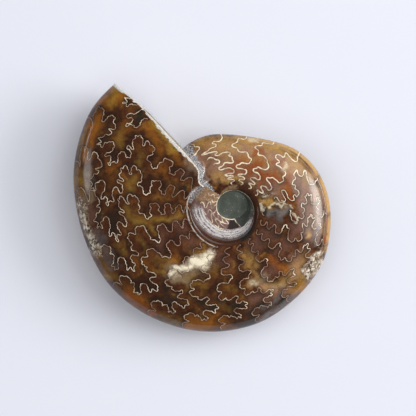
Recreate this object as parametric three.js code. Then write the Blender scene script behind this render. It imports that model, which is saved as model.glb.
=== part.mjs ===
// A polished ammonite, lying on one flank.
//
// The shell is a flat spiral, the same on both sides of its middle plane, and it is
// one solid piece of calcite and stone. Each point of the surface is found in the shell's
// own frame: an angle round the coiling axis, a distance out from that axis, and a height
// off the middle plane. The angle runs backwards through the last turn of the spiral, from
// the cut mouth at MOUTH to the same place one turn earlier. The finished shape is then
// leaned to the way it rests, and its lowest spots are lapped flat.
//
// Units are millimetres, angles are degrees from +X towards +Y, and +Z is up.

import * as THREE from 'three';

// ---- Driving dimensions -----------------------------------------------------------------

const MOUTH = 133;                // angle of the cut mouth
const TURN = 360;
const MOUTH_HALF_BREADTH = 7.8;   // half the thickness of the shell at the mouth
const BREADTH_PER_TURN = 2.0;     // how many times thicker the whorl gets in a turn
const RADIUS_PER_TURN = 2.2;      // how many times wider the spiral gets in a turn

// Distances out from the coiling axis, as [angle, millimetres] pairs.
const KEEL = [
  [133, 36.6], [144, 36.75], [156, 35.8], [168, 34.65], [180, 33.25], [195, 31.95], [210, 31.05], [225, 29.75],
  [240, 28.35], [255, 27.15], [270, 26], [285, 24.95], [300, 23.75], [315, 22.98], [330, 22.4], [345, 21.5],
  [360, 20.85], [375, 20.25], [388, 19.55], [404, 18.35], [420, 16.7], [436, 15.8], [452, 15.85], [468, 16.5],
  [484, 16.75], [493, 16.65],
];
const SHOULDER = [
  [133, 8.1], [150, 8.8], [170, 9.35], [200, 8.95], [240, 8.2], [270, 7.45], [300, 6.7],
  [330, 6.05], [360, 5.75], [400, 5.55], [450, 5.4], [470, 4.9], [493, 4.15],
];
const SEAM = [
  [133, 7.85], [160, 8.4], [180, 8.5], [210, 7.5], [240, 6.7], [270, 6.15], [300, 5.55],
  [330, 4.85], [360, 4.45], [400, 4.25], [450, 4.2], [493, 4.0],
];
const PLUG_EDGE = [
  [133, 3.98], [163, 3.65], [190, 3.3], [214, 2.75], [250, 2.2], [290, 2.05], [330, 2.45],
  [360, 3.0], [400, 3.7], [450, 4.05], [493, 3.98],
];

// How far the cut mouth swings off its angle, as [distance out, degrees] pairs.
const MOUTH_SWING = [
  [0, 0], [4, 1], [6, 5], [8.1, 7.5], [9.6, 6.2], [10.8, -1.2], [11.9, -3], [15.3, -3.1], [19.6, -2.5],
  [23.1, -2.1], [27.4, -1.7], [30.4, -1.3], [33.9, -0.3], [36.6, 0.3],
];
const SWING_REACH = 35;           // degrees past the mouth at which the swing has died out

const CREST_AT = 0.24;            // where the flank is thickest, from shoulder 0 to keel 1
const SHOULDER_DROP = 0.07;       // how much thinner the shoulder is than the crest
const KEEL_SHARPNESS = 0.6;       // 0.5 is a half-ellipse, 1 is a wedge

const PLUG_LEVEL = 2.85;          // stone in the umbilicus: height on the axis
const PLUG_SLOPE = [-0.08, 0.10]; // and its fall along X and Y
const PLUG_RIM = 0.4;             // width of the step at its edge
const INNER_WHORL_BURIED = [280, 340]; // angles over which the stone covers the inner whorl

const FILLET_REACH = 2.0;         // stone left in the corner between mouth and inner whorl
const FILLET_RISE = 0.45;         // and how far up the mouth it climbs

const REST_NORMAL = [0.0188, -0.0638, -0.9978]; // the shell's own "down" as it lies
const LAPPED_DEPTH = 0.25;        // depth ground off the lowest spots

const COLUMNS = 80;               // steps round the turn
const PLUG_ROWS = 3;
const INNER_ROWS = 3;
const WALL_ROWS = 4;
const FLANK_ROWS = 12;
const ROW_SLIDE_FROM = 448;       // angle from which the rows slide out to meet the mouth

// ---- Helpers ------------------------------------------------------------------------------

const clamp01 = (x) => Math.min(1, Math.max(0, x));
const mix = (a, b, t) => a + (b - a) * t;
const ease = (from, to, x) => {
  const t = clamp01((x - from) / (to - from));
  return t * t * (3 - 2 * t);
};

// A smooth curve through [place, value] pairs, with each slope taken from its neighbours.
function along(pairs, place) {
  const last = pairs.length - 1;
  const x = Math.min(pairs[last][0], Math.max(pairs[0][0], place));
  let i = 0;
  while (i < last - 1 && x >= pairs[i + 1][0]) i += 1;
  const slope = (k) => {
    const [x0, y0] = pairs[Math.max(0, k - 1)];
    const [x1, y1] = pairs[Math.min(last, k + 1)];
    return (y1 - y0) / (x1 - x0);
  };
  const [xa, ya] = pairs[i];
  const [xb, yb] = pairs[i + 1];
  const h = xb - xa;
  const t = (x - xa) / h;
  return ya * (1 + 2 * t) * (1 - t) ** 2 + slope(i) * h * t * (1 - t) ** 2
    + yb * t * t * (3 - 2 * t) - slope(i + 1) * h * t * t * (1 - t);
}

// ---- The shell's surface --------------------------------------------------------------------

const halfBreadth = (angle) => MOUTH_HALF_BREADTH * BREADTH_PER_TURN ** (-(angle - MOUTH) / TURN);

// Height of a whorl's flank, as a share of its half breadth, from shoulder 0 to keel 1.
function flankShape(place) {
  const u = clamp01(place);
  if (u < CREST_AT) return 1 - SHOULDER_DROP * ((CREST_AT - u) / CREST_AT) ** 2;
  const v = (u - CREST_AT) / (1 - CREST_AT);
  return Math.max(0, 1 - v * v) ** KEEL_SHARPNESS;
}

function mouthSwing(angle, radius) {
  const away = Math.min(angle - MOUTH, MOUTH + TURN - angle);
  return along(MOUTH_SWING, radius) * (1 - ease(0, SWING_REACH, away));
}

// Height of the surface over the middle plane, at one angle and distance out.
function height(angle, radius) {
  const keel = along(KEEL, angle);
  const shoulder = along(SHOULDER, angle);
  const seam = along(SEAM, angle);
  const plugEdge = Math.min(along(PLUG_EDGE, angle), seam);
  const breadth = halfBreadth(angle);
  const turned = THREE.MathUtils.degToRad(angle);
  const plug = PLUG_LEVEL + PLUG_SLOPE[0] * radius * Math.cos(turned)
    + PLUG_SLOPE[1] * radius * Math.sin(turned);

  const innerWhorl = (r) => {
    const u = (r - plugEdge) / (keel / RADIUS_PER_TURN - plugEdge);
    const flank = breadth / BREADTH_PER_TURN * flankShape(u);
    return mix(flank, plug, ease(...INNER_WHORL_BURIED, angle));
  };

  if (radius < seam) {
    return mix(plug, innerWhorl(Math.max(radius, plugEdge)), ease(-PLUG_RIM, 0, radius - plugEdge));
  }
  if (radius < shoulder) {
    const foot = innerWhorl(seam);
    const top = breadth * (1 - SHOULDER_DROP);
    const inward = (shoulder - radius) / (shoulder - seam);
    return mix(foot, top, Math.sqrt(Math.max(0, 1 - inward * inward)));
  }
  return breadth * flankShape((radius - shoulder) / (keel - shoulder));
}

// Distances out of the rows of points at one angle: stone plug, inner whorl, wall, flank.
function rowRadii(angle) {
  const keel = along(KEEL, angle);
  const shoulder = along(SHOULDER, angle);
  const seam = along(SEAM, angle);
  const plugEdge = Math.min(along(PLUG_EDGE, angle), seam - 0.05);
  const radii = [];
  for (let i = 0; i < PLUG_ROWS; i += 1) {
    radii.push(mix(0, plugEdge - PLUG_RIM, i / (PLUG_ROWS - 1)));
  }
  for (let i = 0; i < INNER_ROWS; i += 1) radii.push(mix(plugEdge, seam, i / INNER_ROWS));
  for (let i = 0; i < WALL_ROWS; i += 1) {
    const swept = i / WALL_ROWS * Math.PI / 2;
    radii.push(shoulder - (shoulder - seam) * Math.cos(swept));
  }
  for (let i = 0; i <= FLANK_ROWS; i += 1) {
    radii.push(mix(shoulder, keel, Math.sin(i / FLANK_ROWS * Math.PI / 2) ** 1.1));
  }
  return radii;
}

// ---- Rows and columns of points -------------------------------------------------------------

const SEAM_ROW = PLUG_ROWS + INNER_ROWS;
const LAST_ROW = SEAM_ROW + WALL_ROWS + FLANK_ROWS;
const mouthRadii = rowRadii(MOUTH);

// Near the end of the turn the rows slide, so that the last column meets the first one
// as far out as the seam. Past the seam the cut mouth stands between the two.
function columnRadii(angle) {
  const radii = rowRadii(angle);
  const slide = ease(ROW_SLIDE_FROM, MOUTH + TURN, angle);
  if (slide === 0) return radii;
  const seam = mouthRadii[SEAM_ROW];
  const keel = along(KEEL, angle);
  return radii.map((radius, row) => {
    const share = (mouthRadii[row] - seam) / (mouthRadii[LAST_ROW] - seam);
    const goal = row <= SEAM_ROW ? mouthRadii[row] : mix(seam, keel, share ** 0.6);
    return mix(radius, goal, slide);
  });
}

// Stone left in the corner, at the foot of the cut mouth.
function fillet(angle, radius) {
  const gap = THREE.MathUtils.degToRad(MOUTH + TURN - angle) * radius;
  if (gap > FILLET_REACH || radius < mouthRadii[SEAM_ROW]) return 0;
  const wall = height(MOUTH, radius) - height(angle, radius);
  const toKeel = 1 - (radius / along(KEEL, angle)) ** 6;
  return FILLET_RISE * Math.max(0, wall) * toKeel * (1 - gap / FILLET_REACH) ** 1.5;
}

const down = new THREE.Vector3(...REST_NORMAL).normalize();
const lean = new THREE.Quaternion().setFromUnitVectors(down, new THREE.Vector3(0, 0, -1));

const points = [];
function addPoint(angle, radius, z) {
  const turned = THREE.MathUtils.degToRad(angle + mouthSwing(angle, radius));
  const point = new THREE.Vector3(radius * Math.cos(turned), radius * Math.sin(turned), z);
  points.push(point.applyQuaternion(lean));
  return points.length - 1;
}

// Each side of the shell is a net of point numbers. The axis, the keel and the inner rows
// of the last column are shared, so that the net closes on itself.
const net = { top: [], bottom: [] };
const axisPoint = {
  top: addPoint(MOUTH, 0, height(MOUTH, 0)),
  bottom: addPoint(MOUTH, 0, -height(MOUTH, 0)),
};
for (let column = 0; column <= COLUMNS; column += 1) {
  const angle = MOUTH + TURN * column / COLUMNS;
  const radii = columnRadii(angle);
  const topColumn = [axisPoint.top];
  const bottomColumn = [axisPoint.bottom];
  for (let row = 1; row <= LAST_ROW; row += 1) {
    const closing = column === COLUMNS && row <= SEAM_ROW;
    if (closing) {
      topColumn.push(net.top[0][row]);
      bottomColumn.push(net.bottom[0][row]);
    } else if (row === LAST_ROW) {
      const keelPoint = addPoint(angle, radii[row], 0);
      topColumn.push(keelPoint);
      bottomColumn.push(keelPoint);
    } else {
      const z = height(angle, radii[row]) + (column > 0 ? fillet(angle, radii[row]) : 0);
      topColumn.push(addPoint(angle, radii[row], z));
      bottomColumn.push(addPoint(angle, radii[row], -z));
    }
  }
  net.top.push(topColumn);
  net.bottom.push(bottomColumn);
}

// ---- Faces ------------------------------------------------------------------------------------

const triangles = [];
function addTriangle(a, b, c) {
  if (a !== b && b !== c && c !== a) triangles.push(a, b, c);
}
function addQuad(a, b, c, d) {
  addTriangle(a, b, c);
  addTriangle(a, c, d);
}
for (let column = 0; column < COLUMNS; column += 1) {
  for (let row = 0; row < LAST_ROW; row += 1) {
    const [t0, t1] = [net.top[column], net.top[column + 1]];
    const [b0, b1] = [net.bottom[column], net.bottom[column + 1]];
    addQuad(t0[row], t0[row + 1], t1[row + 1], t1[row]);
    addQuad(b0[row], b1[row], b1[row + 1], b0[row + 1]);
  }
}
// The cut mouth, from the last column of the inner whorl up to the first column of the outer.
for (let row = SEAM_ROW; row < LAST_ROW; row += 1) {
  const [t0, t1] = [net.top[0], net.top[COLUMNS]];
  const [b0, b1] = [net.bottom[0], net.bottom[COLUMNS]];
  addQuad(t1[row], t1[row + 1], t0[row + 1], t0[row]);
  addQuad(b1[row], b0[row], b0[row + 1], b1[row + 1]);
}

// ---- Lay it down --------------------------------------------------------------------------------

// The origin is under the middle of the piece, on the surface that it lies on.
const box = new THREE.Box3().setFromPoints(points);
const middle = box.getCenter(new THREE.Vector3());
const floor = box.min.z + LAPPED_DEPTH;
const positions = points.flatMap((p) => [p.x - middle.x, p.y - middle.y, Math.max(0, p.z - floor)]);

const geometry = new THREE.BufferGeometry();
geometry.setAttribute('position', new THREE.Float32BufferAttribute(positions, 3));
geometry.setIndex(triangles);
geometry.computeVertexNormals();

const polishedCalcite = new THREE.MeshStandardMaterial({
  color: 0x7a4a22, roughness: 0.2, metalness: 0,
});
const ammonite = new THREE.Mesh(geometry, polishedCalcite);
ammonite.name = 'ammonite';

const group = new THREE.Group();
group.add(ammonite);

export default group;
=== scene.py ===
import math

import bpy
import numpy as np
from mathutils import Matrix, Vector, kdtree, noise


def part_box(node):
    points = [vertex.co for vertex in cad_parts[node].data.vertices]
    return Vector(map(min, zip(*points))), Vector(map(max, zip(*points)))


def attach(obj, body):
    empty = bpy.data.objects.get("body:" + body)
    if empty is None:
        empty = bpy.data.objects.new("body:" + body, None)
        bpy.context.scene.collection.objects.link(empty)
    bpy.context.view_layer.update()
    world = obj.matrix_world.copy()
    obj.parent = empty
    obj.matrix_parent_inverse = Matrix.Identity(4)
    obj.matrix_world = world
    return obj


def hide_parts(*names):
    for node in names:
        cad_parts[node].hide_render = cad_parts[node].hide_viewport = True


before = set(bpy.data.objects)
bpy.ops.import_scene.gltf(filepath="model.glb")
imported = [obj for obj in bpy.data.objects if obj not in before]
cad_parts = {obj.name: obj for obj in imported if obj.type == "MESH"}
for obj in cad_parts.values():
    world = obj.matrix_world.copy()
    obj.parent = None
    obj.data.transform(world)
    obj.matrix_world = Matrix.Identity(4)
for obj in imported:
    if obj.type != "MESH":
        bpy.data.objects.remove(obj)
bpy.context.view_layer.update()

# ---- The ammonite's body ------------------------------------------------------------------------
# One natural piece: a flat spiral shell whose chambers filled with calcite and stone in the
# ground. It was polished all over, down through the shell to the chamber fills. Its mouth is a
# cut face, and dark stone still fills the umbilicus.

# Sizes are millimetres, angles are degrees round the coiling axis from +X towards +Y. Places on
# a flank are an angle and a share of the way from the umbilical shoulder, 0, to the keel, 1.
MM = 0.001
MOUTH = 133.0
TURN = 360.0
MOUTH_HALF_BREADTH = 7.8
BREADTH_PER_TURN = 2.0   # how many times it grows
RADIUS_PER_TURN = 2.2
# The lines that run round the spiral: the angle, and the distance out from the axis.
KEEL = [
    (133, 36.6), (144, 36.75), (156, 35.8), (168, 34.65), (180, 33.25), (195, 31.95),
    (210, 31.05), (225, 29.75), (240, 28.35), (255, 27.15), (270, 26), (285, 24.95),
    (300, 23.75), (315, 22.98), (330, 22.4), (345, 21.5), (360, 20.85), (375, 20.25),
    (388, 19.55), (404, 18.35), (420, 16.7), (436, 15.8), (452, 15.85), (468, 16.5),
    (484, 16.75), (493, 16.65),
]
SHOULDER = [
    (133, 8.1), (150, 8.8), (170, 9.35), (200, 8.95), (240, 8.2), (270, 7.45), (300, 6.7),
    (330, 6.05), (360, 5.75), (400, 5.55), (450, 5.4), (470, 4.9), (493, 4.15),
]
SEAM = [
    (133, 7.85), (160, 8.4), (180, 8.5), (210, 7.5), (240, 6.7), (270, 6.15), (300, 5.55),
    (330, 4.85), (360, 4.45), (400, 4.25), (450, 4.2), (493, 4.0),
]
PLUG_EDGE = [
    (133, 3.98), (163, 3.65), (190, 3.3), (214, 2.75), (250, 2.2), (290, 2.05), (330, 2.45),
    (360, 3.0), (400, 3.7), (450, 4.05), (493, 3.98),
]
# The mouth's cut isn't straight: the distance out, and the degrees it swings round by.
MOUTH_SWING = [
    (0, 0), (4, 1), (6, 5), (8.1, 7.5), (9.6, 6.2), (10.8, -1.2), (11.9, -3), (15.3, -3.1),
    (19.6, -2.5), (23.1, -2.1), (27.4, -1.7), (30.4, -1.3), (33.9, -0.3), (36.6, 0.3),
]
SWING_REACH = 35         # degrees over which the shell follows the cut
CREST_AT = 0.24          # share of the flank where it is thickest
SHOULDER_DROP = 0.07     # how much lower it is at the shoulder, as a share
KEEL_SHARPNESS = 0.6     # power of the curve down to the keel
PLUG_LEVEL = 2.85        # height of the stone over the middle plane, at the axis
PLUG_SLOPE = (-0.08, 0.10)
PLUG_RIM = 0.4           # width of its rounded rim
INNER_WHORL_BURIED = (280, 340)     # between these angles the stone comes to cover it
FILLET_REACH = 2.0       # of the stone in the corner by the mouth
FILLET_RISE = 0.45       # as a share of the mouth's height
REST_NORMAL = (0.0188, -0.0638, -0.9978)        # which way is down when it lies on its flank
LAPPED_DEPTH = 0.25      # taken off its lowest point by lapping
FIT = 0.9994             # keeps the laid-in lines inside the solid's box
LAPPED_FLAT_AT = 0.016   # height of the lapped flat, which leaves room for the wall edges on it
NARROWEST_SHELF = 0.05   # least width of inner whorl between the stone and the seam
MOUTH_ROUNDING = (0.7, 0.35)    # how far in and how deep the edge of the mouth is polished over
WORN_LAYERS = 4          # ridges of worn shell layers along the inner whorl's outer edge
WORN_ANGLES = (172, 188, 290, 330)
WORN_RIDGE = 0.05
# The worn groove along the keel of the upper flank: its angles, its share of the flank, its
# half width as a share too, and its depth.
GROOVE_ANGLES = (336, 342, 398, 408)
GROOVE = (0.925, 0.012)
GROOVE_DEPTH = 0.10
# Crystalline chips in the upper flank: the middle, the reach and the depth of each.
CHIPS = [((328, 0.90), (9, 0.13), 0.22), ((186, 0.95), (13, 0.07), 0.14)]


def along(pairs, place):
    """A smooth curve through (place, value) pairs, with each slope taken from its neighbours."""
    places, values = np.array(pairs, float).T
    slopes = np.gradient(values)
    slopes[1:-1] = (values[2:] - values[:-2]) / (places[2:] - places[:-2])
    slopes[0] = (values[1] - values[0]) / (places[1] - places[0])
    slopes[-1] = (values[-1] - values[-2]) / (places[-1] - places[-2])
    x = np.clip(np.asarray(place, float), places[0], places[-1])
    i = np.clip(np.searchsorted(places, x, side="right") - 1, 0, len(places) - 2)
    h = places[i + 1] - places[i]
    t = (x - places[i]) / h
    start = values[i] * (1 + 2 * t) * (1 - t) ** 2 + slopes[i] * h * t * (1 - t) ** 2
    end = values[i + 1] * t * t * (3 - 2 * t) - slopes[i + 1] * h * t * t * (1 - t)
    return start + end


def ease(low, high, x):
    """0 up to low, 1 from high on, and a smooth rise between them."""
    t = np.clip((np.asarray(x, float) - low) / (high - low), 0, 1)
    return t * t * (3 - 2 * t)


def between(starts, full, fades, ends, x):
    """1 from full to fades, easing to 0 at starts and ends."""
    return ease(starts, full, x) * (1 - ease(fades, ends, x))


def bell(middle, width, x):
    """1 in the middle, falling off smoothly to both sides."""
    return np.exp(-((x - middle) / width) ** 2)


def half_breadth(angle):
    return MOUTH_HALF_BREADTH * BREADTH_PER_TURN ** (-(angle - MOUTH) / TURN)


def flank_shape(place):
    """Height of a flank as a share of the half breadth, from shoulder 0 to keel 1."""
    u = np.clip(place, 0, 1)
    inner = 1 - SHOULDER_DROP * ((CREST_AT - u) / CREST_AT) ** 2
    v = np.clip((u - CREST_AT) / (1 - CREST_AT), 0, 1)
    return np.where(u < CREST_AT, inner, (1 - v * v) ** KEEL_SHARPNESS)


def smooth_height(angle, radius):
    """Height of the surface over the middle plane, before its small chips and grooves."""
    keel = along(KEEL, angle)
    shoulder = along(SHOULDER, angle)
    seam = along(SEAM, angle)
    plug_edge = np.minimum(along(PLUG_EDGE, angle), seam)
    breadth = half_breadth(angle)
    turned = np.radians(angle)
    plug = (PLUG_LEVEL + PLUG_SLOPE[0] * radius * np.cos(turned)
            + PLUG_SLOPE[1] * radius * np.sin(turned))
    buried = ease(*INNER_WHORL_BURIED, angle)

    def inner_whorl(r):
        u = (r - plug_edge) / (keel / RADIUS_PER_TURN - plug_edge)
        return breadth / BREADTH_PER_TURN * flank_shape(u) * (1 - buried) + plug * buried

    step = ease(-PLUG_RIM, 0, radius - plug_edge)
    inner = plug * (1 - step) + inner_whorl(np.maximum(radius, plug_edge)) * step
    foot = inner_whorl(seam)
    inward = np.clip((shoulder - radius) / np.maximum(shoulder - seam, 1e-6), 0, 1)
    wall = foot + (breadth * (1 - SHOULDER_DROP) - foot) * np.sqrt(1 - inward ** 2)
    flank = breadth * flank_shape((radius - shoulder) / (keel - shoulder))
    return np.where(radius < seam, inner, np.where(radius < shoulder, wall, flank))


SPOT_CORE = 0.55


def spot(angle, share, at, size):
    """1 in the core of an oval spot on the flank, easing to 0 at its edge."""
    far = np.hypot((angle - at[0]) / size[0], (share - at[1]) / size[1])
    return 1 - ease(SPOT_CORE, 1.0, far)


def share_of_flank(angle, radius):
    shoulder = along(SHOULDER, angle)
    return (radius - shoulder) / (along(KEEL, angle) - shoulder)


def radius_at(angle, share):
    shoulder = along(SHOULDER, angle)
    return shoulder + share * (along(KEEL, angle) - shoulder)


MOUTH_SEAM = float(along(SEAM, MOUTH))


def height(angle, radius, side):
    """Height of the finished surface: the smooth one with its chips, pits and groove."""
    z = smooth_height(angle, radius)
    share = share_of_flank(angle, radius)
    # The cut mouth's edge is rounded over by polishing.
    from_mouth = np.radians(angle - MOUTH) * radius
    reach, depth = MOUTH_ROUNDING
    round_over = np.clip(1 - from_mouth / reach, 0, 1)
    z = z - depth * (1 - np.sqrt(1 - round_over ** 2)) * (radius > along(SEAM, angle))
    # Stone left in the corner at the foot of the mouth.
    gap = np.radians(MOUTH + TURN - angle) * radius
    inside = (gap < FILLET_REACH) & (radius > MOUTH_SEAM)
    wall = np.maximum(0, smooth_height(np.full_like(radius, MOUTH), radius) - z)
    to_keel = 1 - np.clip(radius / along(KEEL, angle), 0, 1) ** 6
    rise = FILLET_RISE * wall * to_keel * np.clip(1 - gap / FILLET_REACH, 0, 1) ** 1.5
    z = z + np.where(inside, rise, 0)
    # Worn shell layers stand as fine ridges along the outer edge of the inner whorl.
    plug_edge = np.minimum(along(PLUG_EDGE, angle), along(SEAM, angle) - NARROWEST_SHELF)
    place = (radius - plug_edge) / (along(SEAM, angle) - plug_edge)
    layered = between(0.5, 0.6, 0.95, 1.0, place) * between(*WORN_ANGLES, angle)
    z = z + WORN_RIDGE * layered * np.sin(4 * math.pi * WORN_LAYERS * (place - 0.5))
    if side > 0:
        z = z - GROOVE_DEPTH * between(*GROOVE_ANGLES, angle) * bell(*GROOVE, share)
        for middle, size, chip_depth in CHIPS:
            z = z - chip_depth * spot(angle, share, middle, size)
    return z


def mouth_swing(angle, radius):
    away = np.minimum(angle - MOUTH, MOUTH + TURN - angle)
    return along(MOUTH_SWING, radius) * (1 - ease(0, SWING_REACH, away))


down = Vector(REST_NORMAL).normalized()
lean = np.array(down.rotation_difference(Vector((0, 0, -1))).to_matrix())


def shell_point(angle, radius, z):
    """A place in the shell's own frame, in millimetres, before it is leaned over."""
    turned = np.radians(angle + mouth_swing(angle, radius))
    return np.stack([radius * np.cos(turned), radius * np.sin(turned), z], -1)


# Rows of points run round the shell and columns run out from the axis. Columns are evenly
# spaced along the keel, and flank rows are evenly spaced over the curve of the flank.
COLUMNS = 440
ROWS = {1: (9, 26, 11, 104), -1: (5, 6, 6, 52)}    # plug, inner whorl, wall, flank
RIM_ROWS = np.array([0.7, 0.4, 0.15])              # on the rounded rim of the plug, as shares
ROW_SLIDE_FROM = 466

fine_angles = np.linspace(MOUTH, MOUTH + TURN, 4000)
keel_length = np.concatenate([[0], np.cumsum(along(KEEL, fine_angles)[1:])])
column_angles = np.interp(np.linspace(0, keel_length[-1], COLUMNS + 1), keel_length, fine_angles)


def seam_row_of(counts):
    return counts[0] + len(RIM_ROWS) + counts[1]


def row_radii(angle, counts):
    """How far out each row lies at one angle."""
    plug_rows, inner_rows, wall_rows, flank_rows = counts
    keel = float(along(KEEL, angle))
    shoulder = float(along(SHOULDER, angle))
    seam = float(along(SEAM, angle))
    plug_edge = min(float(along(PLUG_EDGE, angle)), seam - NARROWEST_SHELF)
    plug = np.linspace(0, plug_edge - PLUG_RIM, plug_rows)
    rim = plug_edge - PLUG_RIM * RIM_ROWS
    inner = np.linspace(plug_edge, seam, inner_rows, endpoint=False)
    swept = np.linspace(0, math.pi / 2, wall_rows, endpoint=False)
    wall = shoulder - (shoulder - seam) * np.cos(swept)
    u = 1 - np.linspace(1, 0, 600) ** 2
    curve = np.stack([u * (keel - shoulder), half_breadth(angle) * flank_shape(u)])
    length = np.concatenate([[0], np.cumsum(np.hypot(*np.diff(curve)))])
    flank = shoulder + np.interp(np.linspace(0, length[-1], flank_rows + 1), length, curve[0])
    return np.concatenate([plug, rim, inner, wall, flank])


def column_radii(angle, counts):
    """Near the end of the turn the rows slide out, to meet the first column at its seam."""
    radii = row_radii(angle, counts)
    slide = ease(ROW_SLIDE_FROM, MOUTH + TURN, angle)
    first = row_radii(MOUTH, counts)
    seam_row = seam_row_of(counts)
    share = np.clip((first - first[seam_row]) / (first[-1] - first[seam_row]), 0, 1) ** 0.7
    goal = first[seam_row] + share * (radii[-1] - first[seam_row])
    goal[:seam_row + 1] = first[:seam_row + 1]
    return radii + (goal - radii) * slide


points = []         # places in the shell's frame
flat_angle = []     # the angle, distance out and side of each point
flat_radius = []
flat_side = []
net = {}
for side, counts in ROWS.items():
    last_row = sum(counts) + len(RIM_ROWS)
    seam_row = seam_row_of(counts)
    grid_radius = np.array([column_radii(a, counts) for a in column_angles])
    grid_angle = np.repeat(column_angles[:, None], last_row + 1, axis=1)
    grid_z = side * height(grid_angle, grid_radius, side)
    grid_z[:, -1] = 0
    place = shell_point(grid_angle, grid_radius, grid_z)
    numbers = len(points) + np.arange(grid_radius.size).reshape(grid_radius.shape)
    points.extend(place.reshape(-1, 3))
    flat_angle.extend(grid_angle.ravel())
    flat_radius.extend(grid_radius.ravel())
    flat_side.extend(np.full(grid_radius.size, side))
    # The axis point, the rows inside the seam at the turn's end and the keel are shared.
    numbers[:, 0] = numbers[0, 0]
    numbers[-1, :seam_row + 1] = numbers[0, :seam_row + 1]
    if side < 0:
        numbers[:, -1] = net[1][:, -1]
    net[side] = numbers

flat_angle = np.array(flat_angle)
flat_radius = np.array(flat_radius)
flat_side = np.array(flat_side)
faces = []
STONE_PLUG, POLISHED, CUT_FACE = 0, 1, 2
# The stone runs on as a tail along the inner whorl, behind a slanting front: its angle, its
# degrees per millimetre outwards and the radius it starts at. Outside it a band of worn shell is
# left bare, so many millimetres wide at each angle.
PLUG_FRONT = (283, 8.0, 2.6)
BARE_WALL = [(294, 1.5), (315, 1.1), (335, 0.5), (350, 0.1), (365, -0.1)]
face_finish = []
for side, numbers in net.items():
    plug_rows = ROWS[side][0] + len(RIM_ROWS) - 1
    seam_row = seam_row_of(ROWS[side])
    for row in range(numbers.shape[1] - 1):
        a, b = numbers[:-1, row], numbers[:-1, row + 1]
        c, d = numbers[1:, row + 1], numbers[1:, row]
        quads = np.stack([a, b, c, d] if side > 0 else [a, d, c, b], -1)
        faces.extend(quads.tolist())
        middle_radius = flat_radius[quads].mean(1)
        front = PLUG_FRONT[0] + PLUG_FRONT[1] * np.maximum(middle_radius - PLUG_FRONT[2], 0)
        edge_of_plug = along(SEAM, column_angles[:-1]) - along(BARE_WALL, column_angles[:-1])
        under_plug = (column_angles[:-1] > front) & (middle_radius < edge_of_plug)
        is_stone = (row < plug_rows) | under_plug
        face_finish.extend(np.where(is_stone, STONE_PLUG, POLISHED).tolist())
    # The cut mouth stands between the last column of the inner whorl and the first one.
    for row in range(seam_row, numbers.shape[1] - 1):
        near, far = numbers[-1, row], numbers[-1, row + 1]
        outer, inner = numbers[0, row + 1], numbers[0, row]
        quad = [near, far, outer, inner] if side > 0 else [near, inner, outer, far]
        faces.append([int(n) for n in quad])
        face_finish.append(CUT_FACE)

points = np.array(points)
laid = points @ lean.T * FIT
floor = laid[:, 2].min() + LAPPED_DEPTH
cad_low, cad_high = (np.array(corner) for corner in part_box("ammonite"))
box_middle = (laid.min(0) + laid.max(0)) / 2
shift = (cad_low + cad_high) / 2 / MM - box_middle
shift[2] = -floor


def lay_down(place, centre=None):
    """From the shell's frame to the frame of the finished part, in metres. What would lie under
    the lapped flat is lifted onto it, alone or together with the centre it belongs to."""
    on_table = place @ lean.T * FIT + shift
    depth = on_table[..., 2] if centre is None else (centre @ lean.T * FIT + shift)[..., 2]
    lifted = on_table[..., 2] + np.maximum(LAPPED_FLAT_AT - depth, 0)
    on_table[..., 2] = np.maximum(lifted, 0)
    return on_table * MM


def tidy_faces(all_faces, all_finishes):
    """Drops repeated corners, so that quads at the axis and the seam become triangles."""
    kept, finishes = [], []
    for face, finish in zip(all_faces, all_finishes):
        corners = [n for k, n in enumerate(face) if n != face[k - 1]]
        if len(set(corners)) >= 3:
            kept.append(corners)
            finishes.append(finish)
    return kept, finishes


faces, face_finish = tidy_faces(faces, face_finish)
used = np.unique([n for face in faces for n in face])
renumber = np.full(len(points), -1)
renumber[used] = np.arange(len(used))
points = points[used]
flat_angle = flat_angle[used]
flat_radius = flat_radius[used]
flat_side = flat_side[used]
faces = [[int(renumber[n]) for n in face] for face in faces]

body_mesh = bpy.data.meshes.new("ammonite_body")
body_mesh.from_pydata(lay_down(points).tolist(), [], faces)
body_mesh.polygons.foreach_set("use_smooth", [True] * len(faces))
body_mesh.polygons.foreach_set("material_index", face_finish)
body = bpy.data.objects.new("ammonite_body", body_mesh)
bpy.context.collection.objects.link(body)
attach(body, "root")
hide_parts("ammonite")

# ---- The edges of the chamber walls -------------------------------------------------------------
# Thin walls of shell part the chambers. Each is frilled where it meets the outside, and polishing
# has cut through the frill, so that its edge shows as a winding pale line with calcite on both
# sides. The lines are laid in as fine strips that stand barely proud of the polish.

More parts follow.
